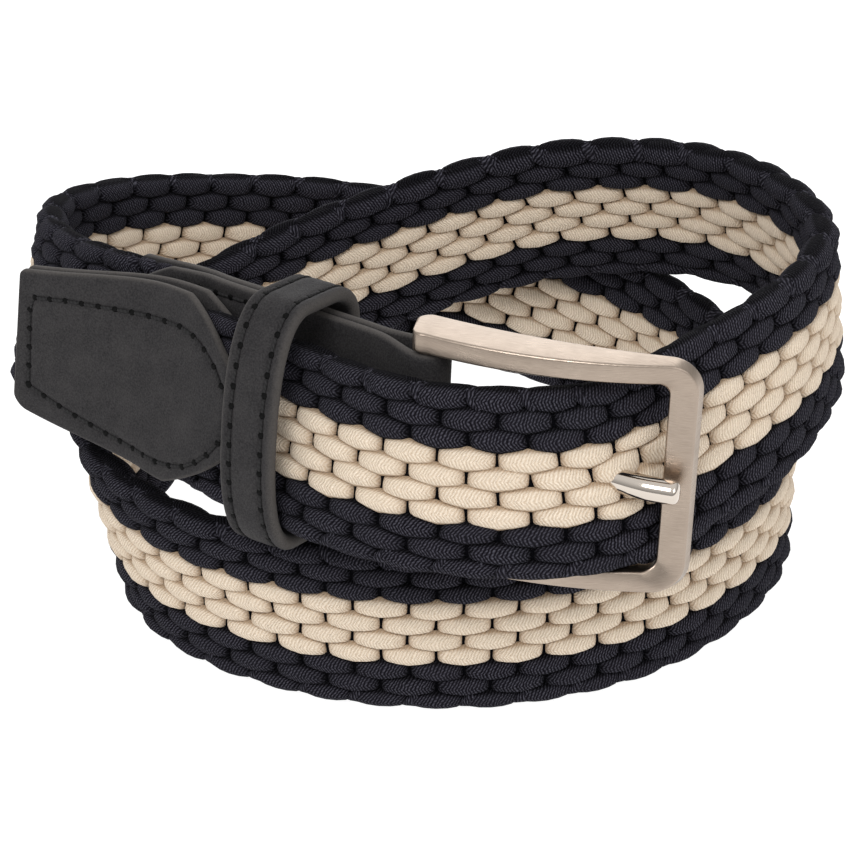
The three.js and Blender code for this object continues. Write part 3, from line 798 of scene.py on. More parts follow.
@dataclass
class Braid:
    """The braid: ten rows of plump cord stitches on each face, round a dark core."""

    route: Route
    row_count: int = 10
    row_pitch: float = 3.5
    cream_rows: tuple[int, ...] = (3, 4, 5, 6)
    # A stitch's half height is half the pitch and the lap, more by the swell in its middle
    # and less by it at its ends
    lap: float = 0.32
    swell: float = 0.32
    # Out of the strap's middle, a stitch's crest and the middle of its cord; its ends lie
    # lower by the dive
    crest: float = 3.3
    cord_middle: float = 1.15
    dive: float = 0.9
    # The space between two stitches, the share of the half length where a stitch starts to
    # close, how far it closes, and the share of its height that is left at its end
    slit: float = 0.5
    closing: float = 0.8
    closed: float = 0.96
    end_height: float = 0.58
    # Powers of a section's sine and cosine, which square it off, and how far a tip stands out
    squared: tuple[float, float] = (0.9, 0.92)
    tip_out: float = 0.08
    # The share of its width that the braid loses where the leather pinches it
    pinch: float = 0.05
    # The outer half of an edge row: its height, what it loses at its ends, and how far it rolls in
    edge_height: float = 2.05
    edge_loss: float = 0.42
    edge_roll: float = 1.0
    # How far slits stray along the strap and stitches stray and tilt across it, and their lean,
    # as a share of their height
    unevenness: float = 0.14
    stray: float = 0.07
    tilt: float = 0.1
    shear: float = 0.09
    # How far stitches run on inside the leather, and the least length of a whole one
    hidden: float = 4
    shortest: float = 6
    # The cords that turn round an edge: their circle's middle, its reach up and out, their
    # radius and how much wider they are along the strap, half their way along it and how far
    # that strays, and the degrees of the circle that they cover
    turn_middle: float = 15.1
    turn_rise: float = 1.2
    turn_depth: float = 1.3
    turn_radius: float = 1.35
    turn_width: float = 1.6
    turn_reach: float = 2.9
    turn_stray: float = 0.25
    turn_span: tuple[float, float] = (-15, 195)
    # How far from its ends, in radians, a cord is whole, how far it closes there, and the
    # lengths that its own coordinates give to a radian and to a whole way round
    turn_whole: float = 0.5
    turn_closed: float = 0.9
    turn_scale: tuple[float, float] = (2.4, 4.2)
    # The core's half width and half thickness, and the powers that square off its section
    core_width: float = 16.2
    core_thickness: float = 1.45
    core_squared: tuple[float, float] = (0.3, 0.6)
    # How far the prong pushes the cords apart, how that fades across the strap, and the height
    # over which it turns from down to up
    push: Bell = Bell(1.6, 794, 7)
    push_fade: Bell = Bell(1, 0, 6)
    push_step: float = 0.9
    # The bow of the free end over the prong, and the bump right over it, along and across
    bow: Bell = Bell(1.9, 814, 23)
    bump: Bell = Bell(1, 800, 6)
    bump_across: Bell = Bell(1, 0, 3.5)
    # How far the strap sags where it passes behind the far bar
    sag: Bell = Bell(1.9, 797, 14)
    # Counts of stitches at lengths along the strap, for each face
    outer_counts: tuple[tuple[float, float], ...] = (
        (50, -40.2), (368.9, -9), (460.5, 0), (743.4, 28), (787.9, 32), (808.3, 34), (849.5, 38),
        (900.3, 43),
    )
    inner_counts: tuple[tuple[float, float], ...] = (
        (50, -10), (152.8, 0), (234.4, 8), (276, 12), (590, 42), (664.1, 49), (699.8, 52),
        (900.3, 71),
    )
    seed: int = 7

    def cupping(self, along: Array, height: Array) -> Array:
        """How far the free end bows out: a parabola across it, and the bump over the prong."""
        bump = self.bump.at(along) * self.bump_across.at(height)
        return self.bow.at(along) * (1 - (2 * height / self.route.width) ** 2) + bump

    def parting(self, along: Array, height: Array) -> Array:
        """How far the prong pushes a place up or down: a fading flattened step across the strap."""
        return self.push.at(along) * self.push_fade.at(height) * np.tanh(height / self.push_step)

    def row_stitches(self, face: Face, row: int) -> tuple[Array, Array]:
        """The slits before and after each stitch of a row, as lengths along the strap.

        They lie a whole count apart, straight between the named counts, and stray a little.

        Args:
            face: The face of the strap.
            row: The row's number from the top.

        Returns:
            The two lengths of each whole stitch.
        """
        along, count = np.array(self.outer_counts if face is Face.OUTER else self.inner_counts).T
        whole = np.arange(math.floor(count[0]), math.ceil(count[-1]) + 1) + (0.0 if row % 2 else 0.5)
        rng = np.random.default_rng(self.seed * 100 + row * 10 + face.value)
        slits = np.interp(whole, count, along) + rng.normal(0, self.unevenness, len(whole))
        start, end = slits[:-1], slits[1:]
        first, last = self.route.braid_start - self.hidden, self.route.braid_end + self.hidden
        keep = (start > first) & (end < last) & (end - start > self.shortest)
        return start[keep], end[keep]

    def stitches(self, face: Face, row: int) -> dict[str, Array]:
        """The rings of one row's stitches.

        A stitch is a run of squared-off ellipses with blunt round ends. Its half height is
        half the row pitch plus a lap and the swell times a cosine, most in its middle and
        least at its ends, so that it fills the gaps of the rows beside it. Its face sinks
        towards both ends by the square of the way there. On the strap's edges the outer
        half keeps its height and rolls in to the middle of the strap.

        Args:
            face: The face of the strap.
            row: The row's number from the top.

        Returns:
            The rings, ends, coordinates and values for mesh_piece.
        """
        start, end = self.row_stitches(face, row)
        one_each = (len(start), 1, 1)
        u = STITCH_STOPS[None, :, None]
        theta = np.radians(STITCH_DEGREES)
        near_end = np.clip((np.abs(u) - self.closing) / (1 - self.closing), 0, 1)
        blunt = np.sqrt(1 - self.closed * near_end**2)
        tall = self.row_pitch / 2 + self.lap + self.swell * np.cos(np.pi * u)
        tall = tall * (self.end_height + (1 - self.end_height) * blunt)
        rise = signed_power(np.sin(theta), self.squared[0])
        thick = (self.crest - self.dive * u**2 - self.cord_middle) * blunt
        depth = self.cord_middle + thick * signed_power(np.cos(theta), self.squared[1])
        if row in (0, self.row_count - 1):
            outer_half = np.clip(np.sin(theta) * (1 if row == 0 else -1), 0, 1)
            tall = np.where(outer_half > 0, self.edge_height - self.edge_loss * np.abs(u) ** 3, tall)
            depth = depth - outer_half**1.3 * (self.edge_roll + 0.1 * u**2)
        rng = np.random.default_rng(self.seed + row * 10 + face.value)
        wander = rng.normal(0, self.stray, one_each) + u * rng.normal(0, self.tilt, one_each)
        lean = rng.normal(0, self.shear, one_each) * tall * rise
        centre, length = (a[:, None, None] for a in ((start + end) / 2, end - start - self.slit))
        along = centre + length / 2 * u + lean
        height = (self.row_count / 2 - 0.5 - row) * self.row_pitch + tall * rise + wander
        if face is Face.OUTER:
            height = height + self.parting(along, height)
        depth = depth * self.route.squash(along) * face.value + self.cupping(along, height)
        height = height * (1 - self.pinch * (1 - self.route.fullness(along))) - self.sag.at(along)
        tip = along[:, [0, -1], 0] + np.array([-self.tip_out, self.tip_out])
        around = np.append(theta, 2 * np.pi)
        arc = np.where(around > np.pi, around - 2 * np.pi, around) * self.row_pitch / 2
        return {
            "rings": self.route.place(along, height, depth),
            "ends": self.route.place(tip, height.mean(-1)[:, [0, -1]], depth.mean(-1)[:, [0, -1]]),
            "uv": together(along[..., :1], arc),
            "tone": rng.uniform(0, 1, one_each) + 0 * along,
            "tip": np.abs(u) + 0 * along,
        }

    def build_stitches(self, face: Face, stripe: Stripe, rows: Sequence[int], name: str) -> Piece:
        """One piece from several rows of one colour.

        Args:
            face: The face of the strap.
            stripe: The rows' colour.
            rows: The rows' numbers.
            name: The piece's name.

        Returns:
            The object, with a tone for each stitch and the closeness to its tips.
        """
        parts = [self.stitches(face, row) for row in rows]
        joined = {key: np.concatenate([part[key] for part in parts]) for key in parts[0]}
        LOG.info("%s: %s, %d stitches", name, stripe.value, len(joined["rings"]))
        values = {key: joined[key] for key in ("tone", "tip")}
        return mesh_piece(name, joined["rings"], joined["uv"], joined["ends"], values=values)

    def build_turns(self, side: int, name: str) -> Piece:
        """The cords that turn round one edge of the strap from the outer face to the inner.

        Each is a tube whose middle line follows part of an oval over the edge while it moves
        along the strap. There is one at every slit of the edge row and one between.

        Args:
            side: 1 for the top edge, -1 for the bottom edge.
            name: The piece's name.

        Returns:
            The object.
        """
        start, end = self.row_stitches(Face.OUTER, 0 if side > 0 else self.row_count - 1)
        centre = np.sort(np.concatenate([start, (start + end) / 2]))[:, None]
        turn = np.radians(np.linspace(*self.turn_span, 10))[None]
        squash = self.route.squash(centre)
        rng = np.random.default_rng(self.seed + side)
        reach = self.turn_reach + rng.normal(0, self.turn_stray, centre.shape)
        over = self.turn_middle + self.turn_rise * np.sin(turn)
        out = self.turn_depth * np.cos(turn) * squash
        line = together(centre + reach * (2 * turn / np.pi - 1), over, out)
        step = unit(np.gradient(line, axis=1))
        second = unit(np.cross(step, together(0 * centre, np.sin(turn), np.cos(turn))))
        first = np.cross(second, step)
        angle = round_turns(10)[:, None]
        ring = first[:, :, None] * np.cos(angle) + second[:, :, None] * np.sin(angle) * self.turn_width
        from_end = np.minimum(turn - turn[:, :1], turn[:, -1:] - turn)
        near_end = 1 - np.clip(from_end / self.turn_whole, 0, 1)
        radius = self.turn_radius * np.sqrt(1 - self.turn_closed * near_end**2)
        spot = line[:, :, None] + ring * (radius * squash**0.5)[:, :, None, None]
        along, height, depth = spot[..., 0], spot[..., 1] * side, spot[..., 2]
        rings = self.route.place(along, height - self.sag.at(along), depth + self.cupping(along, height))
        tip = line[:, [0, -1]]
        ends = self.route.place(tip[..., 0], side * tip[..., 1] - self.sag.at(tip[..., 0]), tip[..., 2])
        way = np.linspace(0, 1, len(angle) + 1)
        per_radian, per_turn = self.turn_scale
        folded = np.abs(way - np.round(way)) * per_turn
        uv = together(turn[..., None] * per_radian + 0 * centre[..., None], folded)
        tone = rng.uniform(0, 1, (len(centre), 1, 1)) + 0 * along
        LOG.info("%s: %d turns", name, len(centre))
        return mesh_piece(name, rings, uv, ends, values={"tone": tone, "tip": 0 * along})

    def build_core(self) -> Piece:
        """The dark band inside: a flat round-edged section carried along the strap.

        Returns:
            The object.
        """
        along = np.arange(self.route.braid_start, self.route.braid_end, 2.0)
        turn = round_turns(28)
        s = along[:, None]
        height = self.core_width * signed_power(np.cos(turn), self.core_squared[0])
        depth = self.core_thickness * signed_power(np.sin(turn), self.core_squared[1]) * self.route.squash(s)
        rings = self.route.place(s, height - self.sag.at(s), depth + self.cupping(s, height))[None]
        ends = self.route.place(along[[0, -1]], 0.0, 0.0)[None]
        uv = together(s, np.linspace(0, 74, len(turn) + 1))[None]
        return mesh_piece("braid_core", rings, uv, ends)

    def build(self, navy: CordFinish, cream: CordFinish, core: CordFinish) -> None:
        """Makes the core, the rows of both faces and the turned cords, and dresses them.

        Args:
            navy: The finish of the outer rows and the turned cords.
            cream: The finish of the middle rows.
            core: The finish of the core.
        """
        materials = {Stripe.NAVY: navy.build(), Stripe.CREAM: cream.build()}
        finish_piece(self.build_core(), core.build(), "braid", "braided_strap")
        bands = {
            "upper": range(self.cream_rows[0]),
            "middle": self.cream_rows,
            "lower": range(self.cream_rows[-1] + 1, self.row_count),
        }
        for face in Face:
            for band, rows in bands.items():
                stripe = Stripe.CREAM if band == "middle" else Stripe.NAVY
                piece = self.build_stitches(face, stripe, rows, f"braid_{band}_{face.name.lower()}")
                finish_piece(piece, materials[stripe], "braid")
        for side, name in ((1, "braid_turns_top"), (-1, "braid_turns_bottom")):
            finish_piece(self.build_turns(side, name), materials[Stripe.NAVY], "braid")


@dataclass(frozen=True)
class Seam:
    """A line of sewing on a sheet, as a polyline in the sheet's own coordinates."""

    points: tuple[tuple[float, float], ...]
    pitch: float = 3.9

    def holes(self) -> Array:
        """The needle holes, evenly spaced along the polyline.

        Returns:
            Their places on the sheet.
        """
        line = np.array(self.points, float)
        runs = runs_along(line)
        count = max(2, round(runs[-1] / self.pitch) + 1)
        return points_along(line, runs, np.linspace(0, runs[-1], count))

    def distance(self, along: Array, height: Array) -> Array:
        """The distance from places on the sheet to the polyline.

        Args:
            along: First coordinates.
            height: Second coordinates.

        Returns:
            The least distance to any of the polyline's straight runs.
        """
        line = np.array(self.points, float)
        a, b = line[:-1], line[1:]
        p = together(along, height)[..., None, :]
        run = b - a
        t = np.clip(((p - a) * run).sum(-1) / (run**2).sum(-1), 0, 1)
        return np.linalg.norm(p - a - t[..., None] * run, axis=-1).min(-1)


@dataclass(frozen=True)
class LeatherWork:
    """The materials of sewn leather."""

    leather: Material
    thread: Material
    # near-black dots of painted shade in the needle holes
    hole_shade: Material


@dataclass
class Sewing:
    """Sunk thread stitches along seams, and dark dots of painted shade at their needle holes."""

    thread_radius: float = 0.34
    hole_radius: float = 0.82
    # By the distance from a seam, the leather sinks along it and puffs up beside it
    groove: Bell = Bell(0.34, 0, 0.75)
    puff: Bell = Bell(0.06, 2.2, 1.3)
    # The share of the way between two holes that a thread leaves bare at each end, the share
    # of its radius that it has there, how deep it starts and ends, and how high it arches
    bare: float = 0.16
    thinned: float = 0.55
    sunk: float = 0.1
    end_sunk: float = 0.15
    arch: float = 0.24
    # A hole's height beside its width, and the levels of its two rings and of its two ends
    hole_height: float = 0.8
    hole_rings: tuple[float, float] = (-0.1, 0.18)
    hole_ends: tuple[float, float] = (-0.3, 0.2)

    def relief(self, seams: list[Seam], along: Array, height: Array) -> Array:
        """How far seams pull a sheet in at places on it.

        Args:
            seams: The seams.
            along: First coordinates.
            height: Second coordinates.

        Returns:
            A bell across the nearest seam, less the puff beside it.
        """
        near = np.min([seam.distance(along, height) for seam in seams], axis=0)
        return self.groove.at(near) - self.puff.at(near)

    def threads(self, seam: Seam, place: PlaceOn) -> tuple[Array, Array, Array]:
        """The rings of a seam's stitches: thin tubes that arch from hole to hole.

        Args:
            seam: The line of sewing.
            place: Gives the points at sheet coordinates and a rise over the surface.

        Returns:
            Rings, end points and coordinates.
        """
        holes = seam.holes()
        t = np.linspace(self.bare, 1 - self.bare, 7)
        start, end = holes[:-1, None], holes[1:, None]
        line = start + (end - start) * t[None, :, None]
        step = (end - start)[:, 0]
        side = unit(together(-step[:, 1], step[:, 0]))[:, None, None]
        angle = round_turns(6)
        fullness = self.thinned + (1 - self.thinned) * np.sin(np.pi * t) ** 0.4
        thick = (self.thread_radius * fullness)[:, None]
        spot = line[:, :, None] + side * (np.cos(angle) * thick)[..., None]
        up = (self.arch * np.sin(np.pi * t) ** 0.6 - self.sunk)[:, None] + np.sin(angle) * thick
        rings = place(spot[..., 0], spot[..., 1], up + 0 * spot[..., 0])
        ends = place(line[:, [0, -1], 0], line[:, [0, -1], 1], np.full((len(line), 2), -self.end_sunk))
        arc = np.linspace(0, 2 * np.pi * self.thread_radius, len(angle) + 1)
        uv = together(t[:, None] * np.linalg.norm(step, axis=-1)[:, None, None], arc)
        return rings, ends, uv

    def hole_shades(self, seam: Seam, place: PlaceOn) -> tuple[Array, Array, Array]:
        """The rings of the painted shade in a seam's needle holes: low dark round dots just over the
        surface.

        Args:
            seam: The line of sewing.
            place: Gives the points at sheet coordinates and a rise over the surface.

        Returns:
            Rings, end points and coordinates.
        """
        holes = seam.holes()
        angle = round_turns(8)
        radius = np.array([1.0, 0.8])[:, None] * self.hole_radius
        circle = together(radius * np.cos(angle), radius * np.sin(angle) * self.hole_height)
        spot = holes[:, None, None] + circle[None]
        rings = place(spot[..., 0], spot[..., 1], np.array(self.hole_rings)[:, None] + 0 * spot[..., 0])
        tips = np.stack([holes, holes], 1)
        ends = place(tips[..., 0], tips[..., 1], np.array(self.hole_ends) + 0 * tips[..., 0])
        return rings, ends, np.zeros((*rings.shape[:2], len(angle) + 1, 2))

    def build(self, name: str, sheets: list[tuple[list[Seam], PlaceOn]], work: LeatherWork) -> None:
        """Makes the stitches, and the painted shade at the holes, of several sheets as two pieces.

        Args:
            name: What the pieces' names start with.
            sheets: The seams of each sheet, and what gives its points.
            work: The materials.
        """
        # the second piece is dark dots of painted shade in the needle holes
        kinds = ("stitches", self.threads, work.thread), ("needle_hole_shades", self.hole_shades, work.hole_shade)
        for kind, make, material in kinds:
            parts = [make(seam, place) for seams, place in sheets for seam in seams]
            rings, ends, uv = (np.concatenate([part[i] for part in parts]) for i in range(3))
            finish_piece(mesh_piece(f"{name}_{kind}", rings, uv, ends), material, "leather")


@dataclass
class LeatherSheet:
    """A sheet along the strap between two depths, with round edges."""

    route: Route
    wall: float = 1.8
    edge_radius: float = 0.6
    # how far in from the edges the leather is paler: partly rubbed, partly a painted highlight
    rim: float = 0.75
    gap: float = 0.45
    layer_gap: float = 0.3
    # Places on the outer face, on the inner face and round an edge: the outer one is finely
    # divided, for the sewing's grooves
    places: tuple[int, int, int] = (73, 11, 8)
    sewing: Sewing = field(default_factory=Sewing)

    def seams(self, face: Face) -> list[Seam]:
        """The sewing of a layer."""
        raise NotImplementedError

    def apart(self, along: Array) -> Array:
        """Half the space between the two layers."""
        raise NotImplementedError

    def drawn(self, along: Array, height: Array) -> Array:
        """How far a place is drawn back along the strap: nothing, unless the sheet's end slants."""
        return 0 * along * height

    def over(self, face: Face, along: Array, height: Array, rise: Array) -> Array:
        """The points over a layer's outer face.

        Args:
            face: The layer.
            along: Lengths along the strap.
            height: Heights across it.
            rise: How far the points are from the face.

        Returns:
            Places out of the layer's face, which the seams pull in.
        """
        out = self.apart(along) + self.wall - self.sewing.relief(self.seams(face), along, height) + rise
        return self.route.place(along - self.drawn(along, height), height, face.value * out)

    def section(self, top: Array, bottom: Array) -> tuple[Array, ...]:
        """The places round the sheet's section between two edges, as band_section gives them."""
        return band_section(top, bottom, self.edge_radius, self.rim, self.places)

    def build_sewing(self, name: str, work: LeatherWork) -> None:
        """Makes the sewing of both layers."""
        self.sewing.build(name, [(self.seams(face), partial(self.over, face)) for face in Face], work)


@dataclass
class EndTab(LeatherSheet):
    """The free end's leather tab: a pointed end towards the braid and a blunt tip."""

    point: float = 19
    top: tuple[float, float] = (19.4, 14.8)
    bottom: tuple[float, float] = (17.8, 14.3)
    taper_power: float = 1.5
    slant: float = 2
    top_corner: float = 1.4
    bottom_corner: float = 3.4
    closing: float = 24

    @property
    def start(self) -> float:
        """The length along the strap where the tab's point is."""
        return self.route.length - self.route.tab_length

    def edge(self, sizes: tuple[float, float], corner: float, from_point: Array) -> Array:
        """How far an edge lies from the strap's middle line, at distances from the point.

        Args:
            sizes: The edge at the shoulder and at the tip.
            corner: The tip corner's radius.
            from_point: Distances from the pointed end.

        Returns:
            The point's share of the shoulder; then a taper by a power of the way to the tip,
            less a quarter circle at the tip's corner.
        """
        shoulder, tip = sizes
        length = self.route.tab_length
        pointed = shoulder * point_share(1 - np.maximum(from_point, 0.02) / self.point)
        way = np.clip((from_point - self.point) / (length - self.point), 0, 1)
        t = np.clip((from_point - length + corner) / corner, 0, 1)
        taper = shoulder + (tip - shoulder) * way**self.taper_power - corner * (1 - np.sqrt(1 - t * t))
        return np.where(from_point < self.point, pointed, taper)

    def edges(self, from_point: Array) -> tuple[Array, Array]:
        """How far the top and the bottom edge lie from the strap's middle line.

        Args:
            from_point: Distances from the pointed end.

        Returns:
            The two distances, for the top and the bottom.
        """
        sides = (self.top, self.top_corner), (self.bottom, self.bottom_corner)
        top, bottom = (self.edge(sizes, corner, from_point) for sizes, corner in sides)
        return top, bottom

    def drawn(self, along: Array, height: Array) -> Array:
        """How far the slanting tip draws a place back.

        Args:
            along: Lengths along the strap.
            height: Heights across it.

        Returns:
            The slant times the cube of the way along, times the share of the way up.
        """
        from_point = along - self.start
        top, bottom = self.edges(from_point)
        return self.slant * (from_point / self.route.tab_length) ** 3 * (height + bottom) / (top + bottom)

    def apart(self, along: Array) -> Array:
        """Half the space between the two layers: round the braid, then closing."""
        closed = smooth(along, self.route.braid_end, self.route.braid_end + self.closing)
        return (self.route.half_thickness(along) + self.gap) * (1 - closed) + self.layer_gap / 2 * closed

    def seams(self, face: Face) -> list[Seam]:
        """The same sewing on both layers: up the tip, along the top, round the point and back.

        Args:
            face: The layer. Not used.

        Returns:
            One seam through places given by the length from the strap's end and the height.
        """
        end = self.route.length
        rows = (
            (-3.7, -8.6), (-3.5, 9.9), (-12.6, 11.2), (-22, 11.7), (-36.4, 12.4), (-41.2, 12.7),
            (-46.2, 11.6), (-51.8, 8.2), (-55.6, 3.5), (-56.4, 0), (-55.4, -4), (-51.5, -9.4),
            (-46.4, -12.8), (-40.8, -14.6), (-33.3, -14.6), (-22, -13.3), (-13.2, -11.5),
            (-3.8, -8.9),
        )
        return [Seam(tuple((end + along, height) for along, height in rows))]

    def build_layer(self, face: Face, node: str) -> Piece:
        """One layer: its section carried along the strap from the point to the slanting tip.

        Args:
            face: The layer.
            node: The CAD node that it stands for.

        Returns:
            The object. Its rings are closest at both ends, and the tip's last ones shrink by a
            quarter circle.
        """
        length = self.route.tab_length
        start = self.point * np.linspace(0, 1, 44) ** 1.5
        tip = length - 3 + 3 * np.sin(np.linspace(0, 0.5, 15) * np.pi)
        from_point = np.concatenate([start, np.arange(self.point + 0.5, length - 3.1, 0.5), tip])[:, None]
        s = self.start + from_point
        top, bottom = self.edges(from_point[:, 0])
        height, share, worn = self.section(top, bottom)
        sunk = self.sewing.relief(self.seams(face), s, height) * share
        last = np.clip((from_point - length + self.edge_radius) / self.edge_radius, 0, 0.97)
        depth = self.apart(s) + self.wall / 2 + (share - 0.5) * self.wall * np.sqrt(1 - last**2) - sunk
        rings = self.route.place(s - self.drawn(s, height), height, face.value * depth)
        tips = self.start + np.array([-0.02, length - self.slant / 2 + 0.03])
        ends = self.route.place(tips, 0.0, face.value * (self.apart(tips) + self.wall / 2))
        # the tip's last rings count as edge, so they get the paler edge colour, partly a painted highlight
        return sheet_piece(f"leather_{node}", rings, s, height, np.maximum(worn, last > 0), ends)

    def build(self, work: LeatherWork) -> None:
        """Makes both layers and their sewing.

        Args:
            work: The materials.
        """
        for face, node in ((Face.OUTER, "end_tab_front"), (Face.INNER, "end_tab_back")):
            finish_piece(self.build_layer(face, node), work.leather, "leather", node)
        self.build_sewing("end_tab", work)


@dataclass
class Chape(LeatherSheet):
    """The leather folded round the heel bar, its two pointed layers sewn over the braid's start."""

    front: tuple[float, float] = (58, 80)
    back: tuple[float, float] = (70, 90)
    meeting: float = 12
    heel_space: float = 2.4
    sewn_from: float = 40
    # How far the sewing stays from the point and from the sides
    seam_tip: float = 3.2
    seam_side: float = 2.6

    def half_width(self, along: Array, face: Face) -> Array:
        """Half the width of a layer: whole up to its shoulder, then cut to its point."""
        shoulder, tip = self.front if face is Face.OUTER else self.back
        return self.route.width / 2 * point_share((along - shoulder) / (tip - shoulder))

    def apart(self, along: Array) -> Array:
        """Half the space between the layers.

        Args:
            along: Lengths along the strap.

        Returns:
            Room for the heel bar, nearly nothing, then room for the braid, with smooth steps.
        """
        start = self.route.braid_start
        meeting = smooth(along, 0, self.meeting)
        parting = smooth(along, start - self.meeting, start)
        before = self.heel_space * (1 - meeting) + self.layer_gap / 2 * meeting
        return before * (1 - parting) + (self.route.half_thickness(along) + self.gap) * parting

    def seams(self, face: Face) -> list[Seam]:
        """The sewing inside a layer's outline, from under the keeper round its point.

        Args:
            face: The layer.

        Returns:
            One seam, drawn in from the outline on both sides and at the point.
        """
        shoulder, tip = self.front if face is Face.OUTER else self.back
        way = np.linspace(0, 1, 10)
        along = np.concatenate([[self.sewn_from], shoulder + (tip - self.seam_tip - shoulder) * way])
        high = self.half_width(along + 1.0, face) - self.seam_side
        upper = list(zip(along.tolist(), high.tolist()))
        lower = [(a, -h) for a, h in reversed(upper)]
        return [Seam((*upper, *lower))]

    def build(self, work: LeatherWork) -> None:
        """Makes the folded strip as one sheet from the front tip round the fold to the back tip.

        The strip's run is front layer, half circle, back layer. Its outer face is the strip's
        face away from the fold's inside.

        Args:
            work: The materials.
        """
        runs = {}
        for face, (shoulder, tip) in ((Face.OUTER, self.front), (Face.INNER, self.back)):
            cut = tip - (tip - shoulder) * np.linspace(0, 1, 40) ** 1.5
            runs[face] = np.concatenate([cut, np.arange(shoulder - 0.7, 0.3, -0.7), [0.0]])
        front, fold, back = runs[Face.OUTER], np.linspace(0, np.pi, 17)[1:-1], runs[Face.INNER][::-1]
        along = np.concatenate([front, 0 * fold, back])
        is_back = np.concatenate([0 * front, 0 * fold, 0 * back + 1]) > 0
        turn = np.concatenate([0 * front, fold, 0 * back + np.pi])[:, None]
        half = np.where(is_back, self.half_width(along, Face.INNER), self.half_width(along, Face.OUTER))
        s = along[:, None]
        height, share, worn = self.section(half, half)
        reliefs = [self.sewing.relief(self.seams(face), s, height) for face in (Face.INNER, Face.OUTER)]
        sunk = np.where(is_back[:, None], *reliefs) * share
        offset = self.apart(s) + share * self.wall - sunk
        rings = self.route.place(s - np.sin(turn) * offset, height, np.cos(turn) * offset)
        tips = np.array([self.front[1], self.back[1]]) + 0.05
        ends = self.route.place(tips, 0.0, np.array([1, -1]) * (self.apart(tips) + self.wall / 2))
        piece = sheet_piece("leather_chape", rings, s, height, worn, ends)
        finish_piece(piece, work.leather, "leather", "chape")
        self.build_sewing("chape", work)


@dataclass
class Keeper:
    """The leather loop round the chape and the free end."""

    route: Route
    chape: Chape
    from_end: float = 64.2
    lean: float = -10
    width: float = 11.5
    wall: float = 2.8
    height: float = 48.4
    rise: float = 2
    back_corner: float = 8
    front_bow: float = 11
    front_power: float = 2.4
    inner_back: float = -3.9
    inner_front: float = 7.9
    edge_radius: float = 1.25
    rings: int = 260
    places: tuple[int, int, int] = (35, 9, 12)
    seam_side: float = 3.4
    seam_pitch: float = 3.8
    sewing: Sewing = field(default_factory=Sewing)

    def __post_init__(self) -> None:
        """Finds the loop's own directions and how deep inside the free end the chape lies."""
        at = self.route.station(np.array(self.route.length - self.from_end))
        self.middle, self.forward = at.middle, at.forward
        self.across, self.outward = self.route.leaning(at.forward, np.array(float(self.lean)))
        along = np.arange(self.chape.meeting, self.route.braid_start, 0.5)
        offset = self.route.station(along).middle - self.middle
        nearest = int(np.abs(offset @ self.forward).argmin())
        self.back = float(offset[nearest] @ at.outward) + self.inner_back - self.wall
        self.front = self.inner_front + self.wall

    def outline(self, draw: float) -> Array:
        """The loop's outline in depth and height, drawn in by some of the wall.

        The front is half of a squared-off ellipse. Straight runs join it to two quarter
        circles at the back.

        Args:
            draw: How far the outline is drawn in.

        Returns:
            Depths and heights, with the first place again at the end.
        """
        high = self.height / 2 - draw
        left, right = self.back + draw, self.front - draw
        bow, hind = self.front_bow - draw, self.back_corner - draw
        angle = np.linspace(-np.pi / 2, np.pi / 2, 121)
        power = 2 / self.front_power
        front_x = right - bow + bow * np.abs(np.cos(angle)) ** power
        front = together(front_x, high * signed_power(np.sin(angle), power))
        corners = [
            together(left + hind + hind * np.cos(turn), y + hind * np.sin(turn))
            for y, turn in (
                (high - hind, np.radians(np.linspace(90, 180, 25))),
                (hind - high, np.radians(np.linspace(180, 270, 25))),
            )
        ]
        return np.concatenate([front, *corners, front[:1]])

    def runs(self) -> Array:
        """The length round the loop's outside at each place of its outline."""
        return runs_along(self.outline(0.0))

    def stops(self) -> Array:
        """Evenly spaced lengths round the loop's outside, from its start to its closing."""
        return np.linspace(0, self.runs()[-1], self.rings + 1)

    def loop(self, share: float) -> Array:
        """The closed loop at a share of the wall, at the evenly spaced lengths."""
        return points_along(self.outline(self.wall * (1 - share)), self.runs(), self.stops())

    def seams(self) -> list[Seam]:
        """Two lines of sewing round the outside, a little in from the edges."""
        run, sides = float(self.runs()[-1]), (-self.seam_side, self.seam_side)
        return [Seam(((0.0, side), (run, side)), self.seam_pitch) for side in sides]

    def locate(self, depth: Array, height: Array, side: Array) -> Array:
        """The points at the loop's own depth, height and place along the strap."""
        axes = self.outward, self.across, self.forward
        return local_points(self.middle, axes, depth, height + self.rise, side)

    def over(self, run: Array, side: Array, rise: Array) -> Array:
        """The points over the loop's outside.

        Args:
            run: Lengths round the loop's outside.
            side: Places along the strap.
            rise: How far the points are from the outside.

        Returns:
            Places out of the outside, which the seams pull in.
        """
        outer, at = self.loop(1.0), self.stops()
        normal = unit(outer - self.loop(0.0))
        lift = rise - self.sewing.relief(self.seams(), run, side)
        spot = points_along(outer, at, run) + lift[..., None] * points_along(normal, at, run)
        return self.locate(spot[..., 0], spot[..., 1], side)

    def build(self, work: LeatherWork) -> None:
        """Makes the loop as one ring of sections, and its sewing.

        The section is a flat band with round edges: across it runs the place along the
        strap, and through it the share of the wall.

        Args:
            work: The materials.
        """
        half = np.full(self.rings, self.width / 2)
        # the edge number marks the paler edges, partly rubbed and partly a painted highlight
        side, share, worn = band_section(half, half, self.edge_radius, self.edge_radius, self.places)
        run = self.stops()[:-1, None]
        mixed = (share - self.sewing.relief(self.seams(), run, side) / self.wall * share)[..., None]
        spot = self.loop(0.0)[:-1, None] * (1 - mixed) + self.loop(1.0)[:-1, None] * mixed
        rings = self.locate(spot[..., 0], spot[..., 1], side)
        piece = sheet_piece("leather_keeper_loop", rings, run, side, worn)
        finish_piece(piece, work.leather, "leather", "keeper_loop")
        self.sewing.build("keeper", [(self.seams(), self.over)], work)


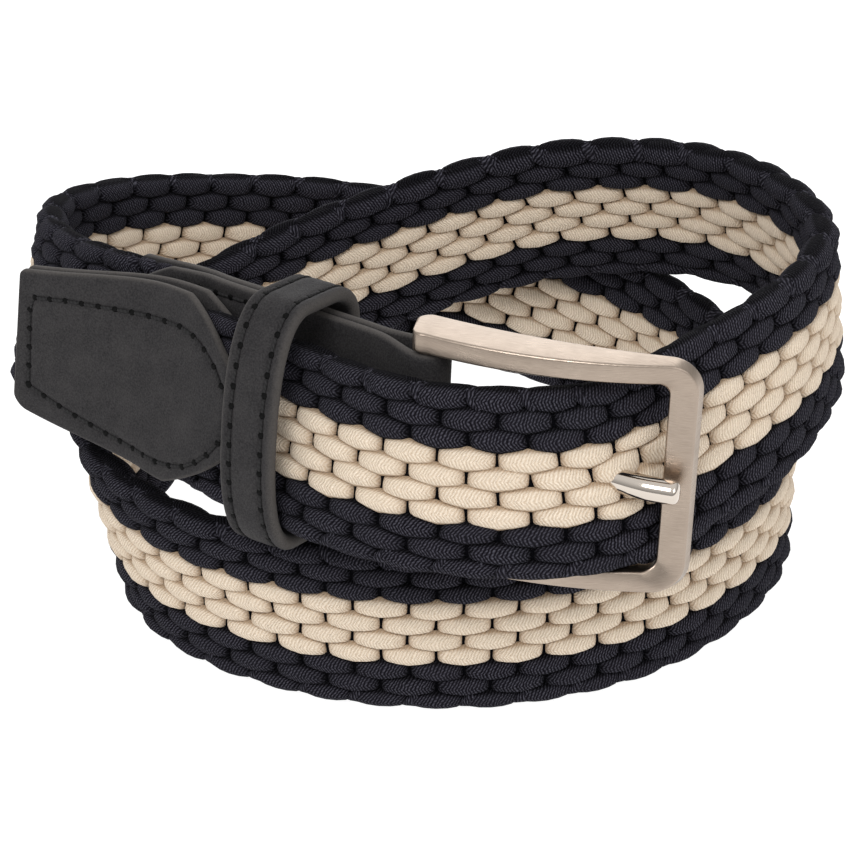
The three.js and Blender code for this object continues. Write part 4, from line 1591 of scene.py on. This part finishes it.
@dataclass(frozen=True)
class Level:
    """The frame's front or back, measured out of the heel bar's middle."""

    far: float
    bow: float
    heel: float
    rounding: float

    def at(self, share: Array, from_end: Array) -> Array:
        """The level at places of the frame.

        Args:
            share: Shares of the frame's length from the heel bar.
            from_end: Distances from the arm's end.

        Returns:
            Its value at the far bar, plus a parabola of the bow, plus what is added evenly
            towards the heel, less a quarter circle at the arm's end.
        """
        t = np.clip(share, 0, 1)
        r = abs(self.rounding)
        left = np.clip(r - from_end, 0, r)
        cut = (r - np.sqrt(r * r - left * left)) * np.sign(self.rounding)
        return self.far + self.bow * 4 * t * (1 - t) + self.heel * (1 - t) - cut


@dataclass
class Buckle:
    """The cast frame with its bowed arms, its heel bar and its prong."""

    route: Route
    heading: float = 14.2
    length: float = 49.5
    height: float = 45.8
    drop: float = 0.4
    arm: float = 4.4
    far_bar: float = 5.8
    front: Level = Level(1.8, 3.8, 2.4, 1.8)
    back: Level = Level(-1, 2.2, -3.1, -2.5)
    corner: float = 6
    inner_corner: float = 2.5
    heel_end: float = 2.4
    fine_end: float = 2.6
    slope: float = 0.6
    crown: float = 0.1
    # The share of the section that the end rings keep, and how far they and the tips stand out
    end_draw: float = 0.86
    end_shift: float = 0.12
    tip_shift: float = 0.14
    # The radii of the bars' four edges, from the inner back one round
    radii: tuple[float, ...] = (0.9, 0.5, 0.55, 1.1)
    heel_radius: float = 2.1
    gap: float = 0.3
    prong_radius: float = 1.9
    prong_tip: float = 47.6
    prong_drop: float = 1
    # The prong's radius before and after it thickens, how far its middle part is let down, and
    # its eye: half its thickness beside the heel bar, how much it is stretched, and its degrees
    prong_root: float = 1.2
    prong_end: float = 2.25
    prong_sag: float = 2.0
    eye_wall: float = 0.55
    eye_stretch: float = 1.1
    eye_span: tuple[float, float] = (-250, -15)

    def __post_init__(self) -> None:
        """Finds the frame's axes at the heel bar: u along it, w up it and n out of it."""
        heel = self.route.station(np.array(0.0))
        self.origin, self.w = heel.middle, heel.across
        a = math.radians(self.heading)
        u = np.array([math.cos(a), -math.sin(a), 0.0])
        self.u = unit(u - self.w * (u @ self.w))
        self.n = np.cross(self.u, self.w)

    def locate(self, u: Array, w: Array, n: Array) -> Array:
        """The points at the frame's own coordinates."""
        return local_points(self.origin, (self.u, self.w, self.n), u, w, n)

    def edge_path(self, reach: float, high: float, corner: float) -> Array:
        """One edge of the frame, from the lower arm's end round to the upper arm's.

        Args:
            reach: How far the edge's outermost run is from the heel bar.
            high: How far the arms' runs are from the frame's middle.
            corner: The radius between them.

        Returns:
            A straight run along an arm, closely divided at its end, a quarter circle, and a
            straight run up the far bar; then the same mirrored.
        """
        end = self.fine_end * np.linspace(0, 1, 12)[:-1] ** 2 - self.heel_end
        arm = np.linspace(self.fine_end - self.heel_end, reach - corner, 34)[:-1]
        run = together(np.concatenate([end, arm]), -high)
        angle = np.linspace(-np.pi / 2, 0, 17)
        turn = together(reach - corner + corner * np.cos(angle), corner - high + corner * np.sin(angle))
        up = together(reach, np.linspace(corner - high, 0, 11)[1:])
        lower = np.concatenate([run, turn, up])
        return np.concatenate([lower, lower[-2::-1] * [1, -1]])

    def section(self, width: Array, front: Array, back: Array) -> tuple[Array, Array]:
        """The places round the bars' section: four rounded corners and a faintly crowned front.

        Args:
            width: Widths of the section, one for each ring.
            front: Levels of its front.
            back: Levels of its back.

        Returns:
            Distances from the inner edge and levels, each with a row for each ring.
        """
        width, front, back = width[:, None], front[:, None], back[:, None]
        rim = width - self.slope
        radii = np.minimum(np.array(self.radii), 0.45 * (front - back))
        r = [radii[:, k : k + 1] for k in range(4)]
        centres = (
            (r[0], back + r[0], 270, 180),
            (r[1], front - r[1], 180, 90),
            (rim - r[2], front - r[2], 90, 0),
            (width - r[3], back + r[3], 0, -90),
        )
        across, level = [], []
        for k, (x, y, start, end) in enumerate(centres):
            angle = np.radians(np.linspace(start, end, 7))[None]
            across.append(x + r[k] * np.cos(angle))
            level.append(y + r[k] * np.sin(angle))
            if k == 1:
                way = np.linspace(0, 1, 9)[None, 1:-1]
                across.append(r[1] + (rim - r[2] - r[1]) * way)
                level.append(front + self.crown * np.sin(np.pi * way))
        return np.concatenate(across, 1), np.concatenate(level, 1)

    def build_frame(self) -> Piece:
        """The two arms and the far bar, as one run of sections between the edge paths.

        The first and last ring, drawn in a little, round off the arms' ends.

        Returns:
            The object.
        """
        half = self.height / 2
        outer = self.edge_path(self.length, half, self.corner)
        inner = self.edge_path(self.length - self.far_bar, half - self.arm, self.inner_corner)
        outer, inner = (np.concatenate([path[:1], path, path[-1:]]) for path in (outer, inner))
        share, from_end = outer[:, 0] / self.length, outer[:, 0] + self.heel_end
        front, back = self.front.at(share, from_end), self.back.at(share, from_end)
        width = np.linalg.norm(outer - inner, axis=1)
        across, level = self.section(width, front, back)
        middle = (front + back)[:, None] / 2
        draw, shift = np.ones((len(outer), 1)), np.zeros((len(outer), 1))
        draw[[0, -1]], shift[[0, -1]] = self.end_draw, self.end_shift
        across = width[:, None] / 2 + (across - width[:, None] / 2) * draw
        level = middle + (level - middle) * draw
        spot = inner[:, None] + (outer - inner)[:, None] * (across / width[:, None])[..., None]
        u, w = spot[..., 0] - shift, spot[..., 1] - self.drop
        rings = self.locate(u, w, level)[None]
        tips = (outer[[0, -1]] + inner[[0, -1]]) / 2 - [self.tip_shift, self.drop]
        ends = self.locate(tips[:, 0], tips[:, 1], middle[[0, -1], 0])[None]
        uv = together(u, w + 0.7 * level)
        return mesh_piece("buckle_bars", rings, wrapped(uv)[None], ends)

    def rod(self, name: str, line: Array, radius: Array, around: int = 24) -> Piece:
        """A round rod along a line in the frame's coordinates.

        Args:
            name: The piece's name.
            line: Points as u, w and n.
            radius: The rod's radius at each point.
            around: Places round the rod.

        Returns:
            Circles square to the line, closed at both ends.
        """
        step = unit(np.gradient(line, axis=0))
        ref = np.array([0.0, 1.0, 0.0]) if abs(step[0, 1]) < 0.7 else np.array([1.0, 0.0, 0.0])
        first = unit(np.cross(step, ref))
        second = np.cross(step, first)
        angle = round_turns(around)[:, None]
        ring = first[:, None] * np.cos(angle) + second[:, None] * np.sin(angle)
        spot = line[:, None] + ring * radius[:, None, None]
        rings = self.locate(*np.moveaxis(spot, -1, 0))[None]
        ends = self.locate(*line[[0, -1]].T)[None]
        uv = together(runs_along(line)[:, None], np.linspace(0, 2 * np.pi * radius.max(), around + 1))[None]
        return mesh_piece(name, rings, uv, ends)

    def build_heel(self) -> Piece:
        """The heel bar, a plain round rod between the two arms.

        Returns:
            The object.
        """
        half = self.height / 2 - self.arm / 2
        w = np.linspace(-half, half, 9)
        line = together(0 * w, w - self.drop, 0 * w)
        return self.rod("buckle_heel_bar", line, np.full(len(w), self.heel_radius))

    def build_prong(self) -> Piece:
        """The prong: an eye round the heel bar that runs into a rod with a blunt tip.

        The rod thickens towards its tip and bends down a little there to lie on the far bar.

        Returns:
            The object.
        """
        share = (self.length - self.far_bar) / self.length
        on_bar = float(self.front.at(np.array(share), np.array(self.length)))
        eye = self.heel_radius + self.gap + self.eye_wall
        start = np.array([0.0, -self.prong_drop, eye + 0.6])
        end = np.array([self.prong_tip, -self.prong_drop, on_bar + self.gap + self.prong_radius])
        wrap = np.radians(np.linspace(*self.eye_span, 16))
        ahead, out = (eye * np.sin(wrap) * self.eye_stretch, eye * np.cos(wrap) * self.eye_stretch)
        curl = together(ahead, -self.prong_drop, out)
        near_tip = 1 - 0.06 * np.array([0.9, 0.6, 0.36, 0.18, 0.07, 0.015])
        way = np.concatenate([np.linspace(0.06, 0.93, 40), near_tip])
        straight = start + (end - start) * way[:, None]
        straight[:, 2] -= self.prong_sag * smooth(way, 0.1, 0.4) * (1 - smooth(way, 0.66, 0.9))
        swell = self.prong_root + (self.prong_end - self.prong_root) * smooth(way, 0.5, 0.74)
        cap = np.sqrt(1 - np.clip((way - 0.975) / 0.025, 0, 0.985) ** 2) ** 0.7
        radius = np.concatenate([np.linspace(0.5, 0.8, len(curl)), swell * cap])
        return self.rod("prong_rod", np.concatenate([curl, straight]), radius, 32)

    def build(self, brushed: MetalFinish, polished: MetalFinish) -> None:
        """Makes the frame, the heel bar and the prong.

        Args:
            brushed: The finish of the frame and the heel bar.
            polished: The finish of the prong.
        """
        metal = brushed.build()
        finish_piece(self.build_frame(), metal, "frame_metal", "buckle_frame")
        finish_piece(self.build_heel(), metal, "frame_metal")
        finish_piece(self.build_prong(), polished.build(), "prong_metal", "buckle_prong")


@dataclass
class Studio:
    """The floor, the lights and the camera."""

    sensor: float = 36
    focal_share: float = 3309 / 850
    distance: float = 655
    elevation: float = 31.9
    aim: tuple[float, float, float] = (0.8, -2.3, 30)
    # Each soft light's name, place and size in metres, and power
    lamps: tuple[tuple[str, tuple[float, float, float], float, float], ...] = (
        ("key", (-0.45, -0.95, 1.3), 0.7, 10.2),
        ("fill", (0.9, -0.9, 0.9), 0.8, 4),
        ("back_panel", (0.1, 1.4, 0.55), 1.3, 9),
    )
    aim_height: float = 0.04
    # The sky's strength level with the belt and overhead, and the rise where it is whole
    horizon: float = 0.4
    zenith: float = 0.9
    whole_at: float = 0.85
    floor_reach: float = 6.0
    floor_level: float = -0.0004

    def build_camera(self) -> None:
        """The camera at the photograph's angle, with no shift and no depth of field."""
        data = bpy.data.cameras.new("camera")
        data.sensor_width = self.sensor
        data.lens = self.sensor * self.focal_share
        data.clip_start, data.clip_end = 0.01, 20
        camera = bpy.data.objects.new("camera", data)
        e = math.radians(self.elevation)
        aim = Vector(self.aim)
        camera.location = (aim + Vector((0, -math.cos(e), math.sin(e))) * self.distance) * MM
        camera.rotation_euler = (math.pi / 2 - e, 0, 0)
        bpy.context.scene.collection.objects.link(camera)
        bpy.context.scene.camera = camera

    def build_floor(self) -> None:
        """A wide pale floor just under the belt."""
        mesh = bpy.data.meshes.new("floor")
        corners = [(x * self.floor_reach, y * self.floor_reach, self.floor_level) for x, y in SQUARE]
        mesh.from_pydata(corners, [], [(0, 1, 2, 3)])
        mesh.materials.append(FloorFinish().build())
        floor = bpy.data.objects.new("floor", mesh)
        bpy.context.scene.collection.objects.link(floor)

    def build_lights(self) -> None:
        """The soft square lights, each facing the belt."""
        for name, place, size, power in self.lamps:
            data = bpy.data.lights.new(name, "AREA")
            data.shape, data.size, data.energy = "SQUARE", size, power
            lamp = bpy.data.objects.new(name, data)
            lamp.location = place
            to_belt = Vector((0, 0, self.aim_height)) - lamp.location
            lamp.rotation_euler = to_belt.to_track_quat("-Z", "Y").to_euler()
            bpy.context.scene.collection.objects.link(lamp)

    def build_world(self) -> None:
        """A soft sky, dimmer near the horizon, that a smooth step of the direction's rise gives."""
        world = bpy.data.worlds.new("studio")
        world.use_nodes = True
        tree = world.node_tree
        background = tree.nodes["Background"]
        direction = tree.nodes.new("ShaderNodeTexCoord")
        parts = tree.nodes.new("ShaderNodeSeparateXYZ")
        rise = tree.nodes.new("ShaderNodeMapRange")
        rise.interpolation_type = "SMOOTHSTEP"
        ends = {"From Min": 0.0, "From Max": self.whole_at, "To Min": self.horizon, "To Max": self.zenith}
        for name, value in ends.items():
            rise.inputs[name].default_value = value
        tree.links.new(direction.outputs["Generated"], parts.inputs[0])
        tree.links.new(parts.outputs["Z"], rise.inputs["Value"])
        tree.links.new(rise.outputs[0], background.inputs["Strength"])
        background.inputs["Color"].default_value = (1, 1, 1, 1)
        bpy.context.scene.world = world

    def build(self) -> None:
        """Makes the floor, the lights and the sky, and sets the view transform."""
        self.build_floor()
        self.build_lights()
        self.build_world()
        bpy.context.scene.view_settings.view_transform = "Standard"


# Cord colours in order: a painted highlight on the ridges, the cord's own colour, painted shade in the
# grooves and painted shade in the creases
NAVY = CordFinish(
    "navy_cord",
    (0.074, 0.072, 0.09),
    (0.017, 0.016, 0.021),
    (0.001, 0.001, 0.002),
    (0.001, 0.001, 0.001),
)
CREAM = CordFinish(
    "cream_cord",
    (0.85, 0.745, 0.615),
    (0.72, 0.6, 0.47),
    (0.45, 0.33, 0.22),
    (0.34, 0.22, 0.125),
    relief=0.22,
    crease_shading=0.7,
    shine=0.1,
    fuzz=0.62,
    sheen=0.03,
)
CORE = CordFinish(
    "core_cord",
    (0.012, 0.012, 0.016),
    (0.006, 0.006, 0.008),
    (0.003, 0.003, 0.004),
    (0.002, 0.002, 0.003),
)
# the third leather colour is the paler edge, partly rubbed and partly a painted highlight
NUBUCK = LeatherFinish("charcoal_nubuck", (0.038, 0.036, 0.037), (0.014, 0.013, 0.014), (0.088, 0.08, 0.074))
SEWING_THREAD = ThreadFinish("charcoal_thread", (0.03, 0.029, 0.03), (0.008, 0.008, 0.008))
# near-black dots of painted shade in the needle holes
NEEDLE_HOLE_SHADE = ThreadFinish("needle_hole_shade", (0.002, 0.002, 0.002), (0.001, 0.001, 0.001))
NICKEL = MetalFinish("brushed_nickel", (0.445, 0.365, 0.3), (0.255, 0.205, 0.165), 0.3, 0.85)
CHROME = MetalFinish("polished_steel", (0.62, 0.555, 0.49), (0.5, 0.44, 0.385), 0.08, 0.0)


def main() -> None:
    """Builds the studio and every part of the belt in order."""
    logging.basicConfig(level=logging.INFO, format="%(name)s %(message)s")
    studio = Studio()
    studio.build_camera()
    route = Route()
    LOG.info("strap: %.1f mm from heel bar to tip", route.length)
    Braid(route).build(NAVY, CREAM, CORE)
    work = LeatherWork(NUBUCK.build(), SEWING_THREAD.build(), NEEDLE_HOLE_SHADE.build())
    EndTab(route).build(work)
    chape = Chape(route)
    chape.build(work)
    Keeper(route, chape).build(work)
    Buckle(route).build(NICKEL, CHROME)
    studio.build()


if __name__ == "__main__":
    main()
